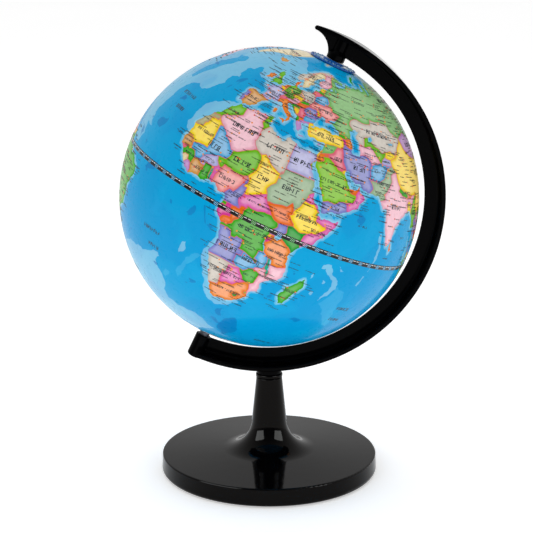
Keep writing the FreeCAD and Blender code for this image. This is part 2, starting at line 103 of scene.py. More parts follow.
# ---- the map, in degrees of longitude and latitude -----------------------------
OLD_CONTINENTS = ("africa", "eurasia")
SHARED_LANDS = (*OLD_CONTINENTS, "north_america", "south_america", "borneo", "new_guinea")
COASTS = {
    "africa": "-5.9 35.8 -2.9 35.2 -1 35.7 3 36.8 6.5 37 9.8 37.3 11 37 10.6 35.9 11.1 35.2 10 34.2 11.2"
        " 33.3 13.2 32.9 15.2 32.3 15.8 31.3 19 30.3 20.1 30.9 20 32.2 21.6 32.9 23.2 32.3 25.2 31.6 29"
        " 30.9 31 31.5 32.3 31.2 32.6 29.9 33.6 27.8 34 26.6 35.6 23.9 37.2 21 37.4 18.8 38.6 18 39.7 15.1"
        " 41.2 14.6 43.2 12.4 42.6 11.5 43.3 11.3 44.3 10.4 47 11.1 51.2 11.9 50.8 9.4 49.2 6.8 47.9 4.4 46"
        " 2.4 42.6 -.4 40.9 -2.1 40.1 -3.4 39.2 -4.7 38.8 -6.2 39.5 -7 39.5 -9 40.4 -10.5 40.6 -12.8 40.7"
        " -14.9 39.8 -16.4 37 -17.9 34.9 -19.9 35.5 -22.1 35.5 -24.1 32.9 -25.4 32.6 -26.1 32.9 -27.8 31.5"
        " -29.3 30 -31.3 28.2 -32.8 25.7 -34 22.2 -34.1 20 -34.8 18.4 -34.1 18.2 -32.6 17 -29.7 15.2 -26.7"
        " 14.4 -22.7 12.6 -18.5 11.8 -16.8 13.4 -12.5 13.8 -10.7 13 -9 12.3 -6.1 11.1 -3.9 9 -1.5 9.4 .4"
        " 9.8 2.5 9.6 4 8.6 4.7 6.1 4.3 4.4 6.3 1.2 6.1 -2 4.8 -4.6 5.2 -7.5 4.4 -9.2 5.5 -11.4 6.9 -13.2"
        " 8.8 -14.7 10.9 -16.8 12.4 -17.4 14.7 -16.4 16.2 -16.2 18.9 -17 20.9 -16.3 22.8 -15 25 -13 27.7"
        " -10 29.5 -9.7 31 -8.5 33.3 -6.9 34",
    "eurasia": "32.3 31.2 34.2 31.3 34.9 32.8 35.9 35 36 36.5 34 36.3 32.5 36.1 30.6 36.8 29.1 36.4 27.5"
        " 36.8 26.3 38.3 26.9 39 26.2 39.4 26.2 40.1 26 40.7 24.4 40.9 23.9 40.2 22.9 40.5 22.7 39.5 23.3"
        " 38.7 24 38 23.1 37.3 23 36.5 21.7 36.9 21.2 38 20.2 39.3 19.4 40.6 19.5 41.8 18.4 42.4 16.4 43.5"
        " 15.1 44.5 14.4 45.2 13.6 45.1 13.7 45.7 12.3 45.3 12.5 44.2 13.6 43.5 14.2 42.4 15.9 41.9 16.6"
        " 41.1 18.4 40.2 17 40.5 16.6 39.8 17.1 39 16.1 38 15.7 38 15.8 39.9 14.3 40.7 12.3 41.7 10.6 42.7"
        " 10.2 43.8 8.8 44.4 7.5 43.8 6.2 43.1 4.6 43.4 3.1 43.1 3.2 41.9 .8 40.9 -.3 39.4 .2 38.7 -.7 37.8"
        " -2 36.8 -4.4 36.7 -5.6 36 -6.4 36.8 -7.4 37.2 -8.9 37 -8.8 38.4 -9.4 38.8 -8.8 41 -9.2 43.1 -7.9"
        " 43.7 -4.5 43.4 -1.8 43.4 -1.2 44.7 -1.2 46.1 -2.5 47.3 -4.6 48 -4.6 48.6 -1.6 48.7 -1.8 49.7 .1"
        " 49.6 1.6 50.9 3.8 51.6 4.8 53 7 53.4 8.7 53.9 8.2 55.5 8.3 57 10.5 57.7 10.3 56.5 9.8 55 11 54"
        " 14.2 53.9 18.5 54.7 19.8 54.4 21.1 55.6 21.5 57.4 23.5 57 24.4 58.3 23.5 59.2 28 59.6 30 60 28.5"
        " 60.6 23 59.9 21.4 61 21.5 62.9 25.3 65 22.2 65.8 21.3 64.5 17.4 62.2 17.2 60.7 18.9 59.9 16.6 58"
        " 16.4 56.6 14.2 55.4 12.9 55.5 11.9 57.5 10.8 59.2 8 58.1 5.6 58.8 5 61 8.5 63.4 12.5 66.2 15.5"
        " 68.3 19 69.8 25.8 71.1 31 70.3 33.5 69.4 41 67.5 40.5 66.4 34.5 66.8 33 66.6 34.8 64.5 38 64 40"
        " 65 44 66.3 44.3 68.4 48 67.6 54 68.8 60.5 69 68.5 68.5 67 70.5 69 73 72.8 72.9 73.5 70 73 67 75"
        " 67.5 77.5 72 81 73.5 87 75 98 76 104.3 77.7 113 75.6 109 74 113.5 73.5 123 73 129 71.5 140 72.7"
        " 150 71.5 160 69.7 170 69.5 180 68.9 180 65 177.5 64.6 179.3 62.6 170.3 60 164 59.9 162.7 57.8 162"
        " 55 156.8 51.1 155.6 56 163.5 61.8 160 61.5 155 59.3 142.5 59.2 135.2 54.8 140.8 53 140.3 48.5"
        " 135.5 44.4 131.8 43.2 129.7 41 127.5 39.5 129.4 36.8 129.2 35.2 126.5 34.4 126.7 37.7 125 38.1"
        " 124.9 39.7 121.5 39 121.3 40.8 118 39.1 119 37.3 122.5 37.2 119.3 35 121.8 32 121.9 30 121.5 28.2"
        " 119.5 25.8 117 23.6 113.8 22.3 110.4 21.2 108.2 21.6 106.6 20 105.8 18.8 108.9 15.2 109.3 12"
        " 106.7 10.3 105 8.7 104.9 10.2 102.8 11.8 101 13.5 100 13.3 99.3 10.3 100.4 7.5 103.3 4.8 103.9"
        " 1.6 101.3 2.9 100.2 6 98.3 8.3 98.7 12 97.6 16.4 94.4 16.1 94.3 18.8 92.2 21 90.5 22.4 88.9 21.7"
        " 87 21.4 85.2 19.7 82.3 16.7 80.2 15.5 80.2 13 79.9 10.4 78.1 8.4 77.5 8.1 76.3 9.9 74.8 13 73.4"
        " 16 72.8 19.2 72.6 21.2 70.4 20.9 69 22.3 67.2 24.8 66.5 25.3 61.6 25.2 57.3 25.8 56.4 27.1 54"
        " 26.7 51.4 27.9 50.1 30.1 48.6 30 48 29.5 48.8 27.7 50.2 26.2 50.8 24.8 51.2 26 51.6 24.3 54 24.2"
        " 56.2 26.1 56.4 24.8 58.7 23.6 59.8 22.5 57.8 20.2 57.7 18.9 55.2 17.4 52.2 15.6 48.7 14.1 45 12.8"
        " 43.4 12.7 42.7 15.6 42.3 17 39.2 21 38.5 23.6 36.5 26 35 28.1 34.9 29.5 34.3 27.8 33.2 28.8 32.6"
        " 29.9",
    "chukotka": "-180 68.9 -175 67.3 -170 66.1 -173 64.3 -180 65",
    "britain": "-5.7 50.1 -3.5 50.3 1.4 51.2 1.7 52.7 .2 53.3 -1.5 55 -2.1 57.6 -4 57.7 -3.1 58.6 -5 58.6"
        " -5.8 57.3 -5.2 55.3 -3.2 54.9 -3 53.4 -4.6 53.3 -4.3 52.3 -5.2 51.8 -3 51.4",
    "ireland": "-6.2 52.2 -9.8 51.5 -9.2 53.3 -10 54.2 -8.3 55.2 -6.2 55.2 -5.6 54.4 -6.1 53.4",
    "iceland": "-22.5 63.9 -18.8 63.4 -14 64.5 -15 66.2 -20.2 66 -24.2 65.5 -22 64.6",
    "greenland": "-44 60 -40.5 65 -33 68 -22 70.3 -19 75 -18 80.5 -33 83.5 -60 82 -68 79.5 -70 76.4 -60"
        " 75.8 -54.5 71 -51 69 -53.5 66.5 -49 61.5",
    "svalbard": "11 79.5 17 76.7 25 79.8 18 80.3",
    "novaya": "52 71.5 57 70.7 56.5 73.5 68 76.6 60 76.2 54 74",
    "severnaya": "95 79.5 105 78.5 100 81 92 81",
    "honshu": "131 34 135.7 33.5 140 35.2 141.9 39.5 141.2 41.4 139.9 39.9 136.8 37.2 132.6 35.4",
    "hokkaido": "140 41.6 143.3 42 145.3 43.3 141.9 45.4 141.3 43.2",
    "kyushu": "129.8 33.2 131.9 33.5 134.3 34.2 134.2 33.3 132 32.7 131.3 31.3 130.2 31.3",
    "sakhalin": "142 46 143.5 49 143.3 52.5 142.5 54.3 142 50",
    "taiwan": "121.6 25.1 120.8 22 120.2 23.3",
    "hainan": "109 20 111 20 109.5 18.3",
    "luzon": "120.6 18.5 122.2 18.4 121.6 16 124 13 120.6 13.9 119.8 16.2",
    "visayas": "122 11.8 125.3 12.4 125.2 10.2 122.5 9.4",
    "mindanao": "122 7 125.6 5.8 126.5 8 125.5 9.8 123.5 8.6",
    "borneo": "109 1.5 111.5 2.7 113.5 3.5 116.9 7 119 5.3 117.8 1 116.3 -3.8 114.5 -4 110.2 -2.9 109 .3",
    "sumatra": "95.3 5.6 98 4.3 103.8 -1 106 -3 105.8 -5.8 102.3 -4 98.8 1.7",
    "java": "105.3 -6.8 108.5 -6.6 112.6 -6.9 114.5 -7.9 114 -8.7 108.3 -7.8",
    "flores": "115.5 -8.3 119 -8.4 123 -8.4 127 -8.4 124 -10.2 119 -8.9",
    "sulawesi": "119.5 -5.4 119 -3 120 .8 124.9 1.5 121 .4 123.4 -1 121.5 -1.9 122.5 -4.8 120.8 -2.8 120.4"
        " -5.5",
    "new_guinea": "131 -.8 134 -.9 135 -3.3 138 -1.7 141 -2.6 145.8 -4.8 147.8 -6.1 150.8 -10.3 147 -9.5"
        " 143.5 -8.5 141 -9.1 138 -8 138 -5.5 132.8 -4 131.5 -2.5",
    "new_britain": "148.5 -5.7 151.5 -4.2 152.2 -4.6 150.5 -6.2",
    "ceylon": "79.8 8 80.2 9.7 81.8 7.3 80.6 6",
    "madagascar": "49.3 -12 50.4 -15.5 49.5 -18 47.1 -24.9 45.3 -25.5 43.4 -22.3 44.4 -19.8 44 -17.5 46.3"
        " -15.7",
    "nz_north": "172.7 -34.5 175.8 -37 178.4 -37.6 177 -39.5 175.3 -41.6 173.8 -39.2 174.8 -38",
    "nz_south": "172.8 -40.5 174.3 -41.7 171 -44.7 168.5 -46.6 166.5 -45.9 171 -42.5",
    "australia": "113.7 -22.5 114.2 -26.3 115.7 -31.8 115 -34.3 118 -35.1 123.5 -33.9 129 -31.6 132 -32"
        " 134.3 -33.2 135.6 -34.9 137.8 -32.6 138.5 -35.6 140.6 -38 144.5 -38.2 146.4 -39.1 150 -37.4 151.3"
        " -33.5 153 -31 153.6 -28.2 153 -25 150.8 -23.2 146.3 -18.9 145.4 -15 142.6 -10.7 141.6 -14 140.8"
        " -17.5 139.3 -17.3 135.5 -14.9 136.8 -12.2 132.6 -11.5 130.8 -12.4 129.5 -14.9 126 -14 122.2 -17.2"
        " 121 -19.6 116.8 -20.6",
    "tasmania": "144.7 -40.7 148.3 -40.9 147 -43.5 145.4 -42.4",
    "north_america": "-168 65.6 -162 66.3 -166.5 68.3 -156.7 71.3 -141 69.7 -128 70.2 -114 68.2 -108 68 -97"
        " 68.3 -94.5 72 -90 69 -85 69.7 -82 67 -86 66.3 -94 61 -94.5 58.7 -88 56.7 -82.3 55.1 -82.1 52.9"
        " -79.5 51.4 -79 54.5 -76.8 57.5 -77.7 62.5 -72 61.7 -69.5 58.8 -64.7 60.3 -61 56 -56 52.2 -59.5"
        " 50.2 -66.5 50.2 -71 47 -65 49.1 -64.8 46.5 -61.5 45.7 -66 43.6 -67 44.8 -70.5 43.2 -70.2 41.7 -74"
        " 40.6 -75.7 37.5 -75.8 35.3 -78.5 33.9 -81.3 31.3 -80.1 26.9 -80.5 25.2 -81.8 26 -82.8 28 -84.2 30"
        " -89.3 29.5 -94.5 29.5 -97.3 27.6 -97.7 22.5 -96 19.2 -94.4 18.2 -91 18.7 -90.4 21.1 -87 21.5"
        " -88.2 18 -88.7 15.8 -83.3 15.1 -83.7 11 -82 9 -79.6 9.5 -77.4 8.6 -78.3 7.7 -80.2 7.4 -83 8.2"
        " -85.8 10 -87.6 12.9 -92 14.4 -94.8 16.3 -99.8 16.7 -105.6 20.3 -105.5 22.5 -109.4 25.7 -113 31.1"
        " -114.7 31.7 -111.2 26 -109.5 23 -112.2 25 -115 28 -117.1 32.5 -120.6 34.6 -124.3 40.4 -124.1 46.2"
        " -124.7 48.4 -122.8 49 -127.8 52 -130.5 54.6 -134 58 -139.8 59.6 -148 60.5 -152 60.9 -151.8 59.2"
        " -154.2 58.3 -164.7 54.7 -158 57.7 -162 58.7 -166 61.7 -161 64.5 -166.5 64.5",
    "baffin": "-61.5 66.6 -64.5 63 -71.5 64 -73 66 -78 70 -89.5 71 -86 73.6 -80 73.5 -68 70",
    "victoria_island": "-117 69.8 -105 69 -105 72.8 -117.5 73",
    "banks": "-125 72 -120 71.5 -118 73.5 -124 74.3",
    "ellesmere": "-62 82.5 -77 83 -90 81.5 -88 78 -80 76.2 -76 78.8",
    "devon": "-80 74.6 -92 74.8 -95 76.6 -80 75.8",
    "melville": "-105 75 -117 75.2 -115 76.5 -104 76.2",
    "southampton": "-80.5 64 -85 63.3 -87 64 -84 65.9",
    "newfoundland": "-59.3 47.7 -53 46.7 -53 48.8 -55.7 51.5",
    "vancouver": "-128.3 50.6 -123.6 48.4 -125.5 50.1",
    "cuba": "-84.9 21.9 -82 23.1 -77 21.5 -74.2 20.2 -77.6 19.9 -78 21 -82 22.5",
    "hispaniola": "-74.3 18.4 -72.8 19.9 -68.4 18.7 -71.5 17.7",
    "jamaica": "-78.3 18.3 -76.3 18.1 -77.3 17.8",
    "puerto_rico": "-67.2 18.4 -65.7 18.3 -66 18 -67.1 18",
    "south_america": "-77.4 8.6 -75.5 10.7 -71.7 12.4 -71.5 11 -68 11.5 -64.5 10.2 -62 10.7 -60 8.5 -57 6"
        " -51.7 4.2 -50 1 -48 -.8 -44.3 -2.7 -40 -2.9 -35.3 -5.3 -34.9 -8 -37 -11 -39 -13.5 -39.2 -17.7 -41"
        " -22 -44.7 -23.2 -48.5 -25.9 -48.7 -28.5 -52.3 -32.5 -54.9 -34.9 -58.4 -34 -57 -36.4 -57.7 -38.2"
        " -62.3 -38.9 -65 -41 -63.8 -42.7 -67.4 -46.3 -65.8 -47.9 -69 -51 -68.3 -52.4 -65.2 -54.7 -68.5"
        " -55.5 -74 -52 -75.5 -48 -73.5 -42 -73.6 -37.2 -71.5 -30 -70.3 -20 -70.4 -18.4 -76.2 -13.9 -79 -8"
        " -81.3 -4.7 -80 -2.8 -80.7 -.7 -79 1.5 -77.3 4 -77.9 7.2",
    "falklands": "-61 -51.3 -58 -51.4 -59 -52.3 -61 -52",
    "antarctica": "-180 -78 -160 -77.5 -150 -76.5 -135 -74.5 -115 -74 -100 -73 -85 -73.3 -75 -71.5 -67"
        " -67.5 -58 -63.3 -61 -66.5 -61 -74.5 -45 -78 -30 -77 -20 -73.5 -10 -71 10 -70 35 -69.3 50 -66.5 58"
        " -67 70 -69 80 -68 95 -66.5 115 -66.7 135 -66 150 -68.5 165 -70.5 170 -72 163 -77.5 180 -78 180"
        " -89 -180 -89",
    "sicily": "12.5 38 15.6 38.2 15.1 36.7",
    "sardinia": "8.2 41 9.8 41 9.5 39.2 8.5 39",
    "corsica": "8.6 42.5 9.4 42.9 9.2 41.5",
    "crete": "23.6 35.4 26.3 35.2 24 35",
    "cyprus": "32.4 35 34.4 35.6 33.7 34.9",
    "zealand": "11.1 55.7 12.6 56 12.3 55 11.2 55.1",
}

LAKES = {
    "black_sea": "27.9 42 28.6 43.8 30.8 46.5 33 46 32.8 45.3 33.6 44.5 36.5 45.2 38.2 44.4 41.5 42.5 41.5"
        " 41.5 38 41 35 42 31.4 41.3 28.5 41.3",
    "azov": "35 46.2 38.8 47.2 38 46 37 45.4 35.3 45.4",
    "marmara": "27 40.6 29 40.9 29 40.5 27.3 40.4",
    "caspian": "47 45.5 49.5 46.6 53 46.8 51.5 45.3 51 44.3 50.3 44.4 52.5 42.5 53 40 54 38.5 54 37 51 36.8"
        " 49 37.6 49.3 40.2 47.6 42.9",
    "aral": "58.5 45.5 60.5 46.3 61.5 45 59 44",
    "victoria": "31.9 -.7 33.9 .2 34.1 -1 33 -2.5 31.7 -2",
    "tanganyika": "29.2 -3.4 30.8 -8.3 30.3 -8.5 29.1 -5",
    "malawi_lake": "34 -9.6 34.8 -12 35.2 -14.2 34.5 -13.5 34.1 -11",
    "chad_lake": "13.5 13.8 14.5 13 14 12.6",
    "baikal": "104 51.5 109.5 55.5 109.8 54.5 106 51.8",
    "balkhash": "73.8 46 79 46.6 74.5 45.2",
    "ladoga": "30.5 60 31 61.6 33 61 31.5 60",
    "onega": "34.5 62.5 36 61 35 60.9",
    "superior": "-92 46.8 -88.3 48.8 -84.7 46.6 -87 46.5",
    "michigan": "-87.9 42 -88 44.5 -86 46 -85 45.6 -86.4 43",
    "huron": "-84.5 46 -80 45.5 -81.5 43.3 -83.4 44",
    "erie": "-83.4 41.8 -79 42.8 -80.5 42",
    "ontario": "-79.7 43.3 -76.3 44 -77 43.3",
    "winnipeg": "-99 53.5 -96.5 50.5 -98 51",
    "great_slave": "-116 61.2 -110 62.5 -112 61",
    "great_bear": "-124 66 -118 66.5 -121 65",
}

INKS = {
    "pink": "f4bfcf", "grey": "d0c8be", "lavender": "bcbce4", "sage": "a2bc9c",
    "vermilion": "ef7d49", "yellow": "fbdc2c", "orchid": "e488bf", "forest": "27a03c",
    "periwinkle": "8f94cf", "orange": "f2955a", "leaf": "46ae35", "magenta": "dc6ca8", "gold": "fcdb55",
    "grass": "70bf2c", "sky": "74b6e2", "khaki": "b8b48e", "tan": "d9a670", "salmon": "f2a3a2",
    "cream": "ecdcb4", "teal": "2fa98a", "lime": "84c62c", "rose": "ec8f9f", "apricot": "f4b183",
    "mint": "84bf78", "ice": "dfe6f0", "lilac": "c99fd4",
}

# Patches of the sea floor in printing order, each with its tone: 0 open sea, 1 shelf, 2 shoal, 3 deep.
SEABED = (
    (1, "-4 48 -7 49.5 -10 50 -14 51 -14.5 53 -16.5 54.5 -19.5 54 -20 51.5 -23.5 50 -20 44.5 -24 43.5 -24"
     " 41.5 -22.5 39.5 -25 36.5 -28.5 33 -33.5 33.5 -40.5 30 -42.5 26 -42.5 21.5 -44 17 -42 13 -38.5 10"
     " -44.5 10.5 -41 6 -45 1 -50 4 -56 16 -60 24 -62 34 -60 46 -58 60 -40 66 -20 70 0 70 10 66 16 60 10 52"
     " 0 49"),
    (0, "-46 43 -47.5 46 -41.5 51.5 -48 55.5 -41 54 -34.5 54 -33 52.5 -36.5 47 -41.5 39 -44.5 33.5 -48 33.5"
     " -48 37"),
    (1, "-5.5 36 -8.5 35 -13 33.5 -18.5 30 -20 27 -20 21.5 -21 20 -18.5 17.5 -17 17 -15 22 -10 29 -6 34"),
    (1, "13.5 -9 11.5 -13.5 10 -20.5 12.5 -27 14.5 -30.5 15.5 -34.5 18.5 -37.5 22.5 -38.5 28 -35.5 31.5"
     " -32.5 20 -32 16 -24 14 -16"),
    (1, "-27 -34 -21 -33.5 -10 -29.5 -9 -31 -11.5 -33.5 -10.5 -35.5 -7 -39.5 -5.5 -43 -7.5 -46.5 -5.5 -51"
     " 8.5 -51.5 28.5 -56 20 -62 0 -66 -25 -66 -40 -58 -48 -46 -42 -36"),
    (1, "1 -19 2.5 -18.5 2.5 -22.5 .5 -24"), (2, "-5 -34.5 -2.5 -35 -5 -38.5 -7 -37.5"),
    (2, "4 -24.5 6.5 -21.5 10.5 -20 6.5 -25.5 4.5 -29.5 2 -35 .5 -32.5 2.5 -29"),
    (2, "63.5 -11 68.5 -12.5 70 -15 70 -19 72 -23 72.5 -26 76.5 -31 66 -24.5 61 -20 62 -18 63.5 -14.5"),
    (1, "53 -6 53 -4.5 56 -3.5 57.5 -5 58 -6.5 63 -10 63.5 -12 59.5 -19 60 -15 61 -11.5 59.5 -9 56.5 -7.5"
     " 54.5 -5.5"),
    (1, "59.5 -3 62.5 -4.5 61 -5"), (1, "51 -11 51 -8.5 51.5 -9.5"),
    (1, "56.5 -11.5 56 -10 57.5 -10.5 57 -11.5"), (1, "54 -17 54.5 -15.5 55.5 -16 55 -17.5"),
    (1, "71.5 -9 72.5 -4.5 73.5 -4.5 72.5 -9"), (1, "73.5 -2.5 74 -.5 74.5 -.5 74 -2.5"),
    (1, "74 1 73.5 5.5 72 11 72.5 12.5 73.5 12 74.5 8 75 4 74.5 .5"),
    (1, "95 0 95 9 94 13 95 13 97 8.5 98 4 97 -1"),
    (3, "-37 13.5 -34 15.5 -31 16.5 -30.5 15 -32.5 11.5 -35 12"),
    (3, "-35.5 24.5 -33.5 27 -31 26.5 -31.5 25"), (3, "-37 18.5 -35 22.5 -34 22.5 -36 19.5"),
    (3, "23.5 -42 26.5 -39 27.5 -44 25 -44"), (3, "55 -31.5 56.5 -29.5 60.5 -30 59 -32"),
    (3, "30 -54.5 29.5 -45.5 34 -41 40 -51.5 36 -59"), (2, "-178 -16 -168 -20 -172 -32 -178 -38"),
    (1, "150 -12 160 -22 168 -34 166 -46 158 -48 152 -38 150 -26"), (2, "-160 20 -150 26 -168 30 -176 27"),
    (1, "-112 -8 -106 -22 -112 -36 -124 -44 -118 -26 -120 -12"), (1, "128 24 132 12 138 14 134 26"),
    (3, "-140 40 -126 34 -130 28 -146 33"), (3, "150 22 162 26 158 14 148 14"),
)

# Home ink of each coast: what no country drawn below covers keeps it.
COAST_INKS = {
    "africa": "leaf", "eurasia": "leaf", "chukotka": "leaf", "britain": "grass", "ireland": "orange",
    "iceland": "tan", "greenland": "cream", "svalbard": "grey", "novaya": "leaf", "severnaya": "leaf",
    "honshu": "rose", "hokkaido": "rose", "kyushu": "rose", "sakhalin": "leaf", "taiwan": "lime",
    "hainan": "gold", "luzon": "lilac", "visayas": "lilac", "mindanao": "lilac", "borneo": "mint",
    "sumatra": "mint", "java": "mint", "flores": "mint", "sulawesi": "mint", "new_guinea": "mint",
    "new_britain": "orange", "ceylon": "orange", "madagascar": "leaf", "nz_north": "grass",
    "nz_south": "grass", "australia": "apricot", "tasmania": "apricot", "north_america": "pink",
    "baffin": "pink", "victoria_island": "pink", "banks": "pink", "ellesmere": "pink", "devon": "pink",
    "melville": "pink", "southampton": "pink", "newfoundland": "pink", "vancouver": "pink",
    "cuba": "vermilion", "hispaniola": "leaf", "jamaica": "lime", "puerto_rico": "leaf",
    "south_america": "leaf", "falklands": "grass", "antarctica": "ice", "sicily": "orange",
    "sardinia": "orange", "corsica": "lavender", "crete": "lilac", "cyprus": "lilac",
    "zealand": "vermilion",
}

